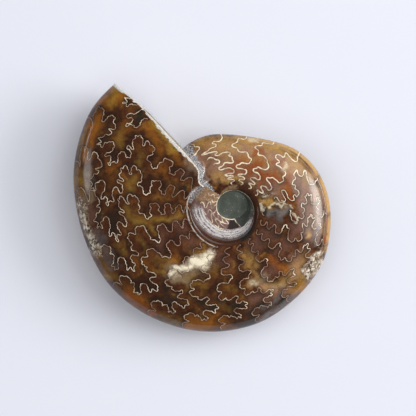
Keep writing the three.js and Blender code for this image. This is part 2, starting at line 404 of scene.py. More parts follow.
# A wall's edge from keel to umbilicus: degrees behind the tip of its middle fold, and the share
# of the flank.
NEAR_MOUTH = [
    (6.7, 1), (5.8, .985), (6, .962), (7.3, .95), (5.6, .952), (4.6, .962), (3.5, .965),
    (2.5, .959), (2.1, .967), (1, .967), (.6, .955), (.8, .945), (.4, .933), (.8, .917),
    (1.5, .905), (3.3, .897), (4.3, .887), (4, .877), (3.3, .869), (1.7, .866), (.8, .855),
    (.9, .835), (1.2, .82), (2.4, .814), (2.7, .795), (3.7, .78), (4.6, .78), (5.4, .8), (6, .819),
    (6.4, .805), (6.5, .785), (7.5, .787), (8.3, .804), (8.35, .822), (9.4, .832), (9.9, .845),
    (10.7, .869), (11, .85), (11.7, .832), (12.3, .844), (13, .858), (13.3, .855), (12.9, .84),
    (12.7, .828), (13.5, .818), (13.3, .805), (11.9, .806), (11.2, .799), (10.8, .78), (9.9, .762),
    (9.6, .745), (10.4, .728), (11.9, .726), (13.7, .734), (14, .747), (15, .76), (16.2, .765),
    (16.5, .757), (16.3, .744), (15.4, .732), (15.4, .72), (16.3, .71), (17.9, .71), (18.3, .722),
    (19.4, .712), (19, .7), (18.1, .704), (17.3, .69), (16.9, .677), (17.4, .667), (16.9, .655),
    (15.6, .655), (14.4, .665), (12.9, .665), (11.5, .655), (11.2, .64), (11.5, .62), (12.9, .605),
    (13.2, .59), (12.1, .572), (10.9, .576), (9.6, .587), (9, .605), (8.5, .62), (7.5, .625),
    (7.1, .612), (7.6, .59), (7.5, .575), (6.8, .578), (6.3, .595), (5.6, .612), (5, .617),
    (4.2, .609), (3.5, .615), (3.1, .625), (2.6, .617), (2.7, .605), (1.5, .6), (1, .585),
    (1.5, .57), (2.7, .552), (4.2, .54), (4.4, .527), (3.9, .521), (2.3, .531), (.8, .532),
    (0, .52), (.4, .502), (1.2, .49), (.8, .475), (1.4, .455), (2.7, .44), (4.2, .445), (5, .432),
    (6.5, .437), (7.3, .45), (8.9, .45), (9.4, .44), (9.2, .423), (9.4, .407), (10.4, .4),
    (11.9, .397), (12.7, .375), (11.7, .362), (11.4, .345), (10.4, .342), (9, .35), (7.5, .35),
    (6.5, .337), (5, .342), (3.9, .345), (3.5, .325), (2.7, .305), (2.3, .29), (2.8, .276),
    (4.2, .269), (5.6, .262), (6.9, .272), (7.7, .272), (8.3, .26), (9.4, .25), (10.5, .25),
    (10, .232), (10.3, .217), (9, .21), (7.5, .22), (6.5, .215), (4.8, .21), (3.1, .21), (2.1, .2),
    (2.1, .18), (2.7, .165), (4.4, .162), (6.7, .157), (8.7, .157), (10.6, .15), (9.6, .135),
    (8.3, .125), (5.6, .12), (2.9, .105), (2.1, .085), (5, .07), (9, .06), (10, .05), (6, .035),
    (2.5, .025), (5, .01), (8, 0),
]
MIDDLE = [
    (8.1, 1), (7.5, .975), (6.8, .95), (7.1, .925), (9.1, .905), (8.9, .895), (6.8, .885),
    (5.7, .862), (5.6, .837), (6.8, .817), (7, .8), (8.7, .799), (9.8, .81), (10.4, .827),
    (10.9, .806), (11.7, .8), (12.5, .819), (13.7, .835), (14.5, .85), (14.7, .867), (15.4, .857),
    (15.8, .84), (16.5, .856), (17.2, .86), (16.9, .841), (17.3, .825), (16.1, .81), (14.8, .795),
    (13.9, .775), (13.6, .755), (14.3, .736), (15.3, .73), (16.8, .741), (18.1, .75), (19, .763),
    (20.3, .763), (20, .747), (19.5, .73), (20.2, .72), (21.6, .721), (22.2, .711), (21.6, .699),
    (20.5, .692), (20.2, .677), (19.3, .665), (17.1, .672), (15.2, .67), (14.3, .654),
    (14.5, .632), (15.4, .612), (15.2, .595), (14.1, .585), (12.5, .594), (11.4, .614), (10, .62),
    (9.1, .61), (8.7, .591), (7.5, .6), (6, .607), (5, .614), (4.1, .601), (2.9, .59), (2.5, .57),
    (3.3, .55), (3.9, .532), (3.3, .519), (1.8, .519), (.4, .504), (0, .487), (.4, .47), (.2, .45),
    (1.2, .432), (2.9, .425), (4.8, .415), (6.8, .418), (8.5, .421), (9.1, .4), (10, .378),
    (11.3, .376), (11.6, .357), (10, .332), (7.5, .33), (5.2, .324), (3.1, .32), (1.75, .305),
    (1.4, .28), (.6, .265), (1.4, .25), (3.5, .242), (5.4, .24), (7.1, .23), (8.2, .21),
    (7.1, .195), (5, .19), (3.1, .177), (1, .16), (.6, .142), (1.6, .125), (3.9, .12), (6.6, .112),
    (8.2, .104), (5.8, .09), (3.5, .081), (1.2, .065), (.4, .05), (1.6, .035), (4.3, .025),
    (7.7, .024), (5, .005),
]
# The oldest walls that show are simpler, and each is its own; these hold whole angles.
FIFTH_LAST = [
    (384, 1), (381, .965), (379.3, .93), (379.3, .9), (377.7, .87), (377.3, .84), (378, .8),
    (381, .8), (384, .81), (387.5, .845), (388.2, .83), (387, .8), (385.8, .765), (386.5, .735),
    (389, .735), (391.3, .75), (390.8, .72), (389.5, .68), (387, .665), (386, .645), (386, .61),
    (385, .575), (383.5, .575), (381.5, .6), (379.5, .575), (377, .6), (375, .59), (373, .565),
    (372, .545), (374, .53), (373, .5), (370.5, .5), (369.3, .47), (370, .44), (374, .425),
    (379.5, .43), (381.5, .405), (381, .38), (377, .37), (372, .385), (370, .36), (369.5, .32),
    (371, .29), (376, .27), (378, .24), (373, .22), (370, .2), (371, .16), (376, .15), (378, .12),
    (372, .1), (371, .06), (375, .03), (374, 0),
]
FOURTH_LAST = [
    (400.5, 1), (399.5, .96), (398.8, .91), (397.2, .875), (397.5, .85), (399, .835),
    (401.5, .835), (403.5, .845), (405.5, .87), (406.8, .88), (407.2, .865), (406.3, .835),
    (405.7, .8), (406.5, .78), (409, .785), (411, .775), (411.8, .75), (411, .725), (409.5, .705),
    (407.5, .69), (406.3, .67), (406.9, .645), (406.5, .62), (405, .61), (402, .615), (400, .605),
    (396, .6), (394.3, .585), (393.7, .56), (394, .535), (393.4, .515), (391.5, .505),
    (390.3, .49), (389.8, .455), (390.3, .42), (393, .415), (398, .405), (400, .395), (401.5, .37),
    (403.5, .35), (403, .32), (401, .305), (397, .3), (393, .295), (390.5, .28), (389, .25),
    (389.2, .22), (391, .213), (396, .21), (399, .195), (400.5, .17), (398.5, .15), (393, .14),
    (390, .12), (393, .1), (398, .09), (400, .07), (394, .05), (392, .02), (395, 0),
]
THIRD_LAST = [
    (418.3, 1), (418.5, .95), (419.5, .935), (422, .935), (425, .935), (426, .92), (425.7, .88),
    (427, .86), (429.5, .85), (430.5, .815), (430, .79), (427.5, .765), (426.2, .74), (425.8, .7),
    (424.5, .68), (422, .685), (419, .665), (416, .645), (414.8, .625), (414.5, .585),
    (413.5, .565), (411.5, .545), (410.5, .52), (410.3, .49), (411, .455), (413, .44), (416, .44),
    (419, .45), (420.3, .44), (420.8, .415), (423, .405), (424, .38), (423.3, .355), (421.5, .335),
    (418, .335), (415, .33), (412.5, .315), (411.3, .3), (410.5, .275), (409.5, .25), (411, .225),
    (413, .22), (415, .23), (418, .225), (420.5, .215), (421.5, .19), (420.5, .17), (418, .165),
    (414, .155), (411, .15), (410, .13), (413, .115), (418, .1), (419, .08), (413, .06),
    (411, .03), (415, 0),
]
SECOND_LAST = [
    (439, 1), (439.3, .97), (440.5, .945), (443.5, .94), (445.5, .93), (446, .9), (446.2, .87),
    (448, .845), (450, .82), (451, .79), (450.3, .765), (448, .745), (446.3, .735), (445.8, .7),
    (444.5, .68), (442, .67), (440, .68), (437, .685), (435.5, .665), (434.5, .635), (434.7, .61),
    (433.5, .585), (431.5, .57), (430.5, .54), (430.3, .5), (431, .47), (433, .455), (436, .46),
    (439, .46), (441, .445), (441.5, .425), (443, .41), (445.3, .395), (446, .37), (444.5, .345),
    (441, .335), (437, .34), (434, .33), (432, .315), (430.5, .295), (430.3, .265), (431.5, .24),
    (434, .225), (437, .225), (440, .22), (442.5, .205), (441, .185), (436, .18), (431, .165),
    (430, .14), (434, .12), (439, .1), (438, .075), (431, .06), (430, .03), (434, 0),
]
LAST = [
    (459.3, 1), (458.7, .96), (458.7, .925), (459.8, .895), (461.5, .87), (464, .865), (467, .86),
    (468.6, .84), (468, .825), (466, .815), (465.7, .79), (467, .77), (470, .765), (473, .755),
    (476, .74), (480, .735), (482.5, .725), (478, .71), (474, .695), (470, .685), (467, .685),
    (465.8, .67), (467, .65), (469, .635), (470, .62), (467, .61), (465, .615), (463, .635),
    (460, .652), (456, .655), (454, .645), (453.7, .62), (454.7, .6), (453.5, .58), (451.5, .565),
    (450.8, .54), (451, .51), (450.3, .48), (451, .455), (453, .445), (456, .45), (459, .45),
    (461, .445), (462, .42), (464, .4), (467, .395), (467.5, .375), (466.5, .35), (465, .335),
    (461, .345), (456, .34), (453, .335), (452, .315), (450, .3), (449, .275), (449.5, .24),
    (451.5, .23), (455, .235), (460, .235), (463, .22), (459, .2), (452, .19), (450, .17),
    (455, .15), (461, .14), (458, .11), (450, .1), (448, .07), (455, .04), (452, 0),
]
LAST_FOLD = [
    (480, .6), (476, .62), (473, .6), (471, .575), (470, .55), (467.5, .535), (466.5, .5),
    (467, .465), (469, .47), (471.5, .485), (474, .47),
]
FIRST_FOLD = [
    (490, .965), (487, .985), (484.5, .96), (483.5, .93), (484, .91), (482, .885), (481, .86),
    (482, .83), (484, .815), (487, .8), (490, .8),
]
# Each wall: angle of its middle fold's tip, its shape, and the stretch of its inner and outer
# lobes.
WALLS = [
    (124.0, NEAR_MOUTH, 0.95, 0.98), (141.7, NEAR_MOUTH, 0.92, 0.98),
    (156.4, NEAR_MOUTH, 1.02, 1.13), (171.3, NEAR_MOUTH, 1.12, 1.24),
    (189.2, MIDDLE, 1.19, 1.04), (205.0, MIDDLE, 0.96, 1.00), (223.6, MIDDLE, 0.82, 0.98),
    (239.8, MIDDLE, 0.97, 0.99), (257.5, MIDDLE, 0.99, 1.00), (274.8, MIDDLE, 0.92, 1.00),
    (294.0, MIDDLE, 0.91, 0.97), (313.7, MIDDLE, 0.95, 0.97), (331.0, MIDDLE, 1.21, 1.15),
    (349.5, MIDDLE, 1.10, 1.06), (0, FIFTH_LAST, 1, 1), (0, FOURTH_LAST, 1, 1),
    (0, THIRD_LAST, 1, 1), (0, SECOND_LAST, 1, 1), (0, LAST, 1, 1), (0, LAST_FOLD, 1, 1),
    (0, FIRST_FOLD, 1, 1),
]
EDGE_STEP = 0.11            # between the points of a line
EDGE_WIDTH = (0.17, 0.12)   # near the mouth, and how much wider the oldest are
EDGE_PROUD = LAPPED_FLAT_AT
EDGE_BURIED = (0.02, 0.05)  # at the sides and in the middle of a strip
SCALLOP_PITCH = (0.74, 0.3)         # in the same way
SCALLOP_DEPTH = (0.17, -0.11)
WALL_WANDER = (1.6, 0.012)          # degrees, and share of the flank
WANDER_BELOW = 1.4                  # times as much on the flank below
noise.seed_set(2)           # so that the walls wander the same way every time


def flank_point(angle, t, side):
    """A place on a flank. t is the root of the share left to the keel, so it is even there."""
    radius = radius_at(angle, 1 - t * t)
    return shell_point(angle, radius, side * height(angle, radius, side))


def smooth_curve(corners, per_span=12):
    """Catmull-Rom curve through the corners."""
    p = np.array(corners, float)
    p = np.concatenate([[2 * p[0] - p[1]], p, [2 * p[-1] - p[-2]]])
    t = np.linspace(0, 1, per_span, endpoint=False)[:, None]
    spans = []
    for a, b, c, d in zip(p, p[1:], p[2:], p[3:]):
        spans.append(0.5 * (2 * b + (c - a) * t + (2 * a - 5 * b + 4 * c - d) * t ** 2
                            + (3 * b - a - 3 * c + d) * t ** 3))
    return np.concatenate(spans + [p[-2:-1]])


def wall_edge(number, side):
    """The course of one chamber wall's edge: its angles and its roots of the share to the keel."""
    start, shape, inner_stretch, outer_stretch = WALLS[number]
    offset, share = np.array(shape).T
    stretch = inner_stretch + (outer_stretch - inner_stretch) * ease(0.45, 0.62, share)
    seed = number * 7.3 + (0 if side > 0 else 50)
    wander = [noise.noise_vector(Vector((seed, 9 * u, 0.3 * o))) for o, u in zip(offset, share)]
    wander = np.array(wander)[:, :2] * WALL_WANDER * (1.0 if side > 0 else WANDER_BELOW)
    angle = start + offset * stretch + wander[:, 0] * np.sin(math.pi * np.minimum(share, 1))
    off_the_ends = (share < 0.99) & (share > 0.01)
    share = np.clip(share + wander[:, 1] * off_the_ends, 0, 1)
    curve = smooth_curve(np.stack([angle, np.sqrt(1 - share)], -1))
    curve[:, 1] = np.clip(curve[:, 1], 0, 1)
    return curve


def even_steps(curve, step, side):
    """The same curve with its points a step apart in millimetres over the surface."""
    place = flank_point(curve[:, 0], curve[:, 1], side)
    length = np.concatenate([[0], np.cumsum(np.linalg.norm(np.diff(place, axis=0), axis=1))])
    marks = np.linspace(0, length[-1], max(8, int(length[-1] / step)))
    return np.stack([np.interp(marks, length, curve[:, k]) for k in range(2)], -1)


def frilled(curve, side, seed):
    """Small scallops along the curve, round towards the mouth and pointed away from it."""
    angle, t = curve.T
    degree_size = np.radians(1) * radius_at(angle, 1 - t * t)
    t_size = np.linalg.norm(flank_point(angle, np.clip(t + 0.01, 0, 1), side)
                            - flank_point(angle, np.clip(t - 0.01, 0, 1), side), axis=1) / 0.02
    run = np.gradient(curve, axis=0) * np.stack([degree_size, t_size], -1)
    run /= np.maximum(np.linalg.norm(run, axis=1, keepdims=True), 1e-9)
    mouthwards = np.stack([-run[:, 1] / degree_size, run[:, 0] / t_size], -1)
    older = ease(300, 400, angle)
    wander = np.array([noise.noise(Vector((seed, k * 0.03, 1.0))) for k in range(len(t))])
    pitch = (SCALLOP_PITCH[0] + SCALLOP_PITCH[1] * older) * (1 + 0.5 * wander)
    phase = np.cumsum(EDGE_STEP / pitch)
    off_the_ends = np.clip(np.sin(math.pi * (1 - t * t)) * 4, 0, 1)
    depth = (SCALLOP_DEPTH[0] + SCALLOP_DEPTH[1] * older) * (1 + 0.8 * wander) * off_the_ends
    heading = run[2:] - run[:-2]
    bend = np.concatenate([[0], np.linalg.norm(heading, axis=1), [0]]) / (2 * EDGE_STEP)
    bend = np.convolve(bend, np.ones(5) / 5, mode="same")
    # Where the line already bends sharply the scallops are shallow.
    depth = depth * np.clip(1.35 - 0.45 * bend, 0.15, 1)
    scallop = np.abs(np.sin(math.pi * phase)) ** 0.8 - 0.6
    bent = curve + mouthwards * (depth * scallop)[:, None]
    bent[:, 1] = np.clip(bent[:, 1], 0, 1)
    return bent


def surface_frame(angle, t, side):
    """Each place, with the unit outward normal of the surface there."""
    place = flank_point(angle, t, side)
    t_in = np.where(t <= 1, np.clip(t, 0.03, 0.99), t)
    around = flank_point(angle + 0.3, t_in, side) - flank_point(angle - 0.3, t_in, side)
    inward = flank_point(angle, t_in + 0.01, side) - flank_point(angle, t_in - 0.01, side)
    normal = np.cross(around, inward) * side
    normal = normal / np.linalg.norm(normal, axis=1, keepdims=True)
    normal *= np.sign((normal * (place * (1, 1, 0.2))).sum(1, keepdims=True))
    return place, normal


# Places where breaks and clouds hide the walls: (angle, share of the flank), and their size.
HIDDEN = [
    ((188, .96), (12, .07)), ((326, .93), (9, .10)), ((357, .22), (14, .25)),
    ((372, .12), (12, .14)), ((486, .30), (10, .25)), ((491, .55), (4, .30)),
]
FIRST_WALL_SHOWS = 0.6      # only nearer the keel than this root of the share left to it
FEWEST_POINTS = 7
edge_courses = {1: [], -1: []}      # each course with the number of its wall
for side in (1, -1):
    for number in range(len(WALLS)):
        course = even_steps(wall_edge(number, side), EDGE_STEP, side)
        course = even_steps(frilled(course, side, number + 9.5 * side), EDGE_STEP, side)
        on_shell = (course[:, 0] > MOUTH + 0.2) & (course[:, 0] < MOUTH + TURN - 0.5)
        on_shell &= (number > 0) | (course[:, 1] < FIRST_WALL_SHOWS)
        if side > 0:
            for middle_of_it, size in HIDDEN:
                on_shell &= spot(course[:, 0], 1 - course[:, 1] ** 2, middle_of_it, size) < 0.5
        breaks = np.flatnonzero(np.diff(np.concatenate([[0], on_shell.astype(int), [0]])))
        for first, last in zip(breaks[::2], breaks[1::2]):
            if last - first >= FEWEST_POINTS:
                edge_courses[side].append((number, course[first:last]))

# Inside the umbilicus: the seam between whorls with the rim of the stone, one wall that stands
# beside the stone, and the small walls of the inner whorl. Places are (angle, millimetres out).
INNER_WALLS = (143, 156, 170, 186, 203, 221, 240)
INNER_FOLD = [
    (0, 1), (-.5, .90), (-.1, .76), (.7, .70), (.4, .58), (-.7, .52), (-.9, .42), (0, .34),
    (.6, .28), (.2, .16), (-.4, .08), (0, 0),
]
INNER_FOLD_SIZE = (0.8, 0.72)       # millimetres round the axis, and share of the shelf outwards
BESIDE_STONE = [(281, 2.1), (284, 2.7), (289, 3.2), (294, 4.0)]
stone_rim = np.linspace(284, MOUTH, 120)
seam_line = np.linspace(MOUTH + TURN, 345, 120)
SEAM_LINE, INNER_WALL = 1000, 1001      # stand in for the number of a wall
inner_lines = [(SEAM_LINE, np.stack([stone_rim, along(PLUG_EDGE, stone_rim) + 0.03], -1)),
               (SEAM_LINE, np.stack([seam_line, along(SEAM, seam_line) - 0.02], -1)),
               (INNER_WALL, smooth_curve(BESIDE_STONE, 4))]
for start in INNER_WALLS:
    offset, place = np.array(INNER_FOLD).T
    near = along(PLUG_EDGE, start)
    radius = near + place * INNER_FOLD_SIZE[1] * (along(SEAM, start) - near)
    offset = offset * (1 + 0.5 * math.sin(start)) * INNER_FOLD_SIZE[0]
    fold = np.stack([start + np.degrees(offset / radius), radius], -1)
    inner_lines.append((INNER_WALL, smooth_curve(fold, 4)))
for side in (1, -1):
    for kind, line in inner_lines:
        angle, radius = line.T
        keel, shoulder = along(KEEL, angle), along(SHOULDER, angle)
        t = np.sqrt((keel - radius) / (keel - shoulder))
        edge_courses[side].append((kind, even_steps(np.stack([angle, t], -1), EDGE_STEP, side)))

# Where folds end, counted as in the shapes above, the edge is brightest: middle and size.
BRIGHT_TIPS = [((21, 0.715), (5.5, 0.07)), ((12, 0.37), (4, 0.05))]
EDGE_LIGHT, TIP_LIGHT, OLDER_LIGHT = 0.66, 0.40, 0.3        # 0 is stained brown, 1 is cream
INNER_LIGHT = {SEAM_LINE: 0.85, INNER_WALL: 0.75}
INNER_WIDENED = 1.2


def lay_edges(side, name):
    """All the wall edges of one flank as one mesh of fine closed strips."""
    strip_points, strip_centres, strip_faces, strip_light = [], [], [], []
    for number, course in edge_courses[side]:
        angle, t = course.T
        place, normal = surface_frame(angle, t, side)
        tangent = np.gradient(place, axis=0)
        across = np.cross(normal, tangent)
        across /= np.linalg.norm(across, axis=1, keepdims=True)
        share = 1 - t * t
        wobble = np.array([noise.noise(Vector(p * 0.9)) for p in place])
        early = ease(375, 400, angle)
        width = (EDGE_WIDTH[0] + EDGE_WIDTH[1] * early) * (1 + 0.45 * wobble)
        taper = np.minimum(np.arange(len(t)), np.arange(len(t))[::-1]) * EDGE_STEP / 0.25
        width = width * np.clip(taper, 0.15, 1)
        if number in INNER_LIGHT:
            width = INNER_WIDENED * width
            light = INNER_LIGHT[number] + 0.5 * wobble
        else:
            offset = angle - WALLS[number][0]
            tip = np.maximum(*(spot(offset, share, *tip_place) for tip_place in BRIGHT_TIPS))
            light = EDGE_LIGHT + TIP_LIGHT * tip + OLDER_LIGHT * ease(335, 380, angle)
            light = light + 0.3 * wobble
            # Dimmer on a stretch of the whorl, at the keel and by the umbilicus.
            light = light * (1 - 0.22 * between(262, 288, 326, 340, angle))
            light = light * (1 - 0.5 * ease(0.86, 0.98, share) * (1 - early))
            light = light * (1 - 0.45 * (1 - ease(0.2, 0.42, share)) * (1 - 0.6 * early))
        half = (across * width[:, None]) / 2
        low, top = normal * EDGE_BURIED[0], normal * EDGE_PROUD
        section = [place + half - low, place + 0.7 * half + top, place - 0.7 * half + top,
                   place - half - low, place - normal * EDGE_BURIED[1]]
        ring = np.stack(section, 1)
        sides = len(section)
        first = len(strip_points)
        strip_points.extend(ring.reshape(-1, 3))
        strip_centres.extend(np.repeat(place, sides, axis=0))
        strip_light.extend(np.repeat(np.clip(light, 0, 1), sides))
        for k in range(len(ring) - 1):
            for j in range(sides):
                a, b = first + sides * k + j, first + sides * k + (j + 1) % sides
                strip_faces.append([a, b, b + sides, a + sides])
        last = first + sides * (len(ring) - 1)
        strip_faces.append([first + j for j in reversed(range(sides))])
        strip_faces.append([last + j for j in range(sides)])
    mesh = bpy.data.meshes.new(name)
    laid_strips = lay_down(np.array(strip_points), np.array(strip_centres))
    mesh.from_pydata(laid_strips.tolist(), [], strip_faces)
    mesh.polygons.foreach_set("use_smooth", [True] * len(strip_faces))
    shade = mesh.attributes.new("whiteness", "FLOAT", "POINT")
    shade.data.foreach_set("value", np.array(strip_light, np.float32))
    strips = bpy.data.objects.new(name, mesh)
    bpy.context.collection.objects.link(strips)
    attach(strips, "root")
    return strips


upper_edges = lay_edges(1, "wall_edges_upper")
lower_edges = lay_edges(-1, "wall_edges_lower")


def linear(hexed):
    """A colour written as sRGB hex, made linear."""
    channels = [int(hexed[k:k + 2], 16) / 255 for k in (1, 3, 5)]
    return tuple(c / 12.92 if c <= 0.04045 else ((c + 0.055) / 1.055) ** 2.4
                 for c in channels) + (1.0,)


def add(material, kind, inputs=(), stops=(), **settings):
    """Adds one node. Each input is given a value or another node's output, and the stops of a
    ramp are (position, colour as hex), in order."""
    made = material.node_tree.nodes.new("ShaderNode" + kind)
    for name, value in settings.items():
        setattr(made, name, value)
    for socket, value in dict(inputs).items():
        if isinstance(value, bpy.types.NodeSocket):
            material.node_tree.links.new(value, made.inputs[socket])
        else:
            made.inputs[socket].default_value = value
    if stops:
        ramp = made.color_ramp.elements
        ramp[0].position, ramp[1].position = stops[0][0], stops[-1][0]
        for position, _ in stops[1:-1]:
            ramp.new(position)
        for stop, (_, hexed) in zip(ramp, stops):
            stop.color = linear(hexed)
    return made


def bare_material(name):
    """A material whose nodes are all still to be added."""
    material = bpy.data.materials.new(name)
    material.use_nodes = True
    material.node_tree.nodes.clear()
    return material


# Nacreous shell with calcite in it, polished: a fine pale line, a little softer than the fills,
# stained brown in spots of about 0.7 mm.
shell_edge = bare_material("pale_shell_polished")
whiteness = add(shell_edge, "Attribute", attribute_name="whiteness")
table_place = add(shell_edge, "TexCoord")
stain = add(shell_edge, "TexNoise",
            {"Vector": table_place.outputs["Object"], "Scale": 1400, "Detail": 2})
staining = add(shell_edge, "MapRange",
               {"Value": stain.outputs["Fac"], "From Min": 0.3, "From Max": 0.7,
                "To Min": 0.65, "To Max": 1.3})
edge_tone = add(shell_edge, "Math",
                {0: whiteness.outputs["Fac"], 1: staining.outputs["Result"]},
                operation="MULTIPLY")
edge_colour = add(shell_edge, "ValToRGB", {"Fac": edge_tone.outputs[0]},
                  [(0.10, "#5E3E2A"), (0.5, "#A08069"), (1.0, "#F2E2C4")])
edge_shader = add(shell_edge, "BsdfPrincipled",
                  {"Base Color": edge_colour.outputs["Color"], "Roughness": 0.20, "IOR": 1.55})
add(shell_edge, "OutputMaterial", {"Surface": edge_shader.outputs["BSDF"]})
for strips in (upper_edges, lower_edges):
    strips.data.materials.append(shell_edge)

# ---- What filled the chambers -------------------------------------------------------------------
# Honey, chestnut and red-brown calcite, clouded with pale calcite and dark siltstone. It grew in
# the chambers from water in the ground, so it lies in patches that follow them, darkest just
# behind each wall edge.

# The patches are measured from places that have wandered, in swirls of about 1.8 and 0.6 mm, so
# that none has a smooth edge.
plan = shell_point(flat_angle, flat_radius, 0 * flat_radius)[:, :2]
drift = np.array([noise.noise_vector(Vector((x * 0.55, y * 0.55, 4.0 * s)))
                  for (x, y), s in zip(plan, flat_side)])
fine_drift = np.array([noise.noise_vector(Vector((x * 1.6, y * 1.6, 9.0 + 4.0 * s)))
                       for (x, y), s in zip(plan, flat_side)])
wandering = plan + 0.9 * drift[:, :2] + 0.45 * fine_drift[:, :2]
PATCH_FADE = 1.6
PATCH_REACH = 1.8       # in widths, where a patch has faded out


def patch(marks, on_side=1):
    """How much of one filling shows at each point: marks are (width, strength, places), with
    the places as (angle, share of the flank) and the width in millimetres."""
    amount = np.zeros(len(plan))
    for width, strength, places in marks:
        angle, share = np.array(places, float).T
        radius = radius_at(angle, share)
        line = shell_point(angle, radius, 0 * radius)[:, :2]
        reach = PATCH_REACH * width
        near = ((wandering > line.min(0) - reach) & (wandering < line.max(0) + reach)).all(1)
        near &= flat_side == on_side
        here = wandering[near]
        far = np.full(len(here), np.inf)
        for start, end in zip(line, line[1:]):
            run = end - start
            share_along = np.clip((here - start) @ run / (run @ run), 0, 1)
            gap = np.linalg.norm(here - start - share_along[:, None] * run, axis=1)
            far = np.minimum(far, gap)
        faded = strength * np.exp(-PATCH_FADE * (far / width) ** 2)
        amount[near] = np.maximum(amount[near], faded)
    return amount


AMBER = [
    (2.0, 1.0, [(135, .90), (141, .97)]), (1.5, 1.0, [(137.5, .57), (140, .48), (143, .40)]),
    (1.3, 0.8, [(139.5, .35), (140.5, .24)]), (1.7, 0.9, [(146, .93), (160, .92)]),
    (2.2, 0.4, [(143, .70), (149, .74)]), (2.6, 0.45, [(161, .70), (168, .65)]),
    (2.0, 0.4, [(147, .38), (152, .30)]), (2.0, 0.75, [(219, .90), (230, .94)]),
    (2.6, 0.9, [(249, .93), (263, .90)]), (1.2, 0.6, [(262, .80), (264, .86)]),
    (1.2, 0.7, [(218, .38), (222, .33)]), (1.6, 0.5, [(307, .38), (311, .60)]),
    (0.5, 1.0, [(331, .94), (334, .94)]), (1.2, 0.8, [(306, .91), (313, .95)]),
    (1.5, 0.5, [(424, .6), (430, .75)]), (2.0, 0.35, [(205, .66), (214, .58)]),
    (1.4, 0.5, [(371, .45), (382, .44)]), (2.6, 0.4, [(134, .78), (137, .60)]),
    (1.6, 0.45, [(432, .55), (436, .54)]), (2.0, 0.3, [(464, .80), (480, .90)]),
]
GOLD = [
    (1.1, 1.1, [(134, .60), (135, .45), (138, .33)]), (1.5, 1.0, [(134, .96), (138, .92)]),
    (1.5, 0.6, [(146, .72), (150, .70)]), (1.4, 0.6, [(149, .52), (153, .50)]),
    (1.6, 1.1, [(162, .50), (167, .52)]), (1.8, 0.9, [(180, .54), (184, .52), (186, .44)]),
    (1.1, 1.0, [(186.5, .42), (187, .32), (186, .20), (184, .10)]),
    (0.9, 0.8, [(189, .38), (196, .37)]), (1.4, 0.6, [(197, .72), (200, .70)]),
    (1.3, 0.6, [(197, .52), (200, .49)]), (1.5, 0.7, [(213, .46), (219, .42)]),
    (1.0, 0.8, [(218, .55), (221, .53)]), (1.6, 0.7, [(199, .93), (209, .92)]),
    (1.4, 0.6, [(232, .50), (238, .40)]), (1.2, 0.6, [(235, .93), (244, .95)]),
    (1.0, 0.9, [(165, .945), (178, .945)]), (1.5, 1.2, [(307, .90), (313, .96)]),
    (0.45, 1.0, [(302, .285), (307, .29)]), (1.3, 0.45, [(243, .50), (249, .50)]),
    (1.3, 0.4, [(262, .68), (268, .75)]), (1.3, 0.45, [(264, .45), (270, .50)]),
    (1.0, 0.5, [(455, .55), (462, .58)]), (1.2, 0.8, [(369, .14), (384, .20)]),
    (0.8, 0.6, [(150, .985), (170, .98), (178, .98)]), (1.6, 0.3, [(166, .10), (168, .30)]),
    (1.2, 0.9, [(240, .50), (248, .45)]), (1.3, 0.6, [(206, .93), (214, .90)]),
    (1.1, 1.0, [(228, .17), (234, .12)]), (1.4, 0.4, [(249, .32), (254, .27)]),
]
OCHRE = [
    (1.2, 0.55, [(283, .12), (286, .30), (289, .45)]), (1.0, 0.45, [(291, .15), (293, .35)]),
    (1.3, 0.45, [(282, .50), (290, .50)]), (1.5, 0.5, [(293, .62), (301, .68)]),
    (1.6, 0.6, [(303, .70), (311, .78)]), (2.0, 0.6, [(313, .66), (325, .72)]),
    (1.6, 0.6, [(314, .85), (318, .80)]), (0.85, 1.3, [(341.4, .70), (342.6, .70)]),
    (1.0, 0.9, [(383, .04), (377, .08), (372, .14)]), (0.7, 0.7, [(372, .24), (367, .32)]),
    (2.2, 0.7, [(384, .85), (396, .78)]), (1.8, 0.8, [(398, .84), (410, .94)]),
    (1.8, 0.9, [(412, .90), (424, .93)]), (1.8, 0.9, [(430, .93), (446, .93)]),
    (2.4, 0.7, [(450, .80), (468, .87), (478, .92)]), (1.8, 0.5, [(415, .60), (424, .55)]),
    (1.6, 0.45, [(432, .60), (440, .55)]), (1.6, 0.5, [(455, .60), (465, .62)]),
    (1.2, 0.6, [(392, .62), (402, .70)]), (0.8, 0.9, [(437, .08), (455, .14), (470, .20)]),
    (0.9, 0.8, [(466, .20), (475, .30)]), (1.2, 0.4, [(398, .50), (406, .48)]),
    (1.8, 0.4, [(346, .88), (376, .84)]),
]
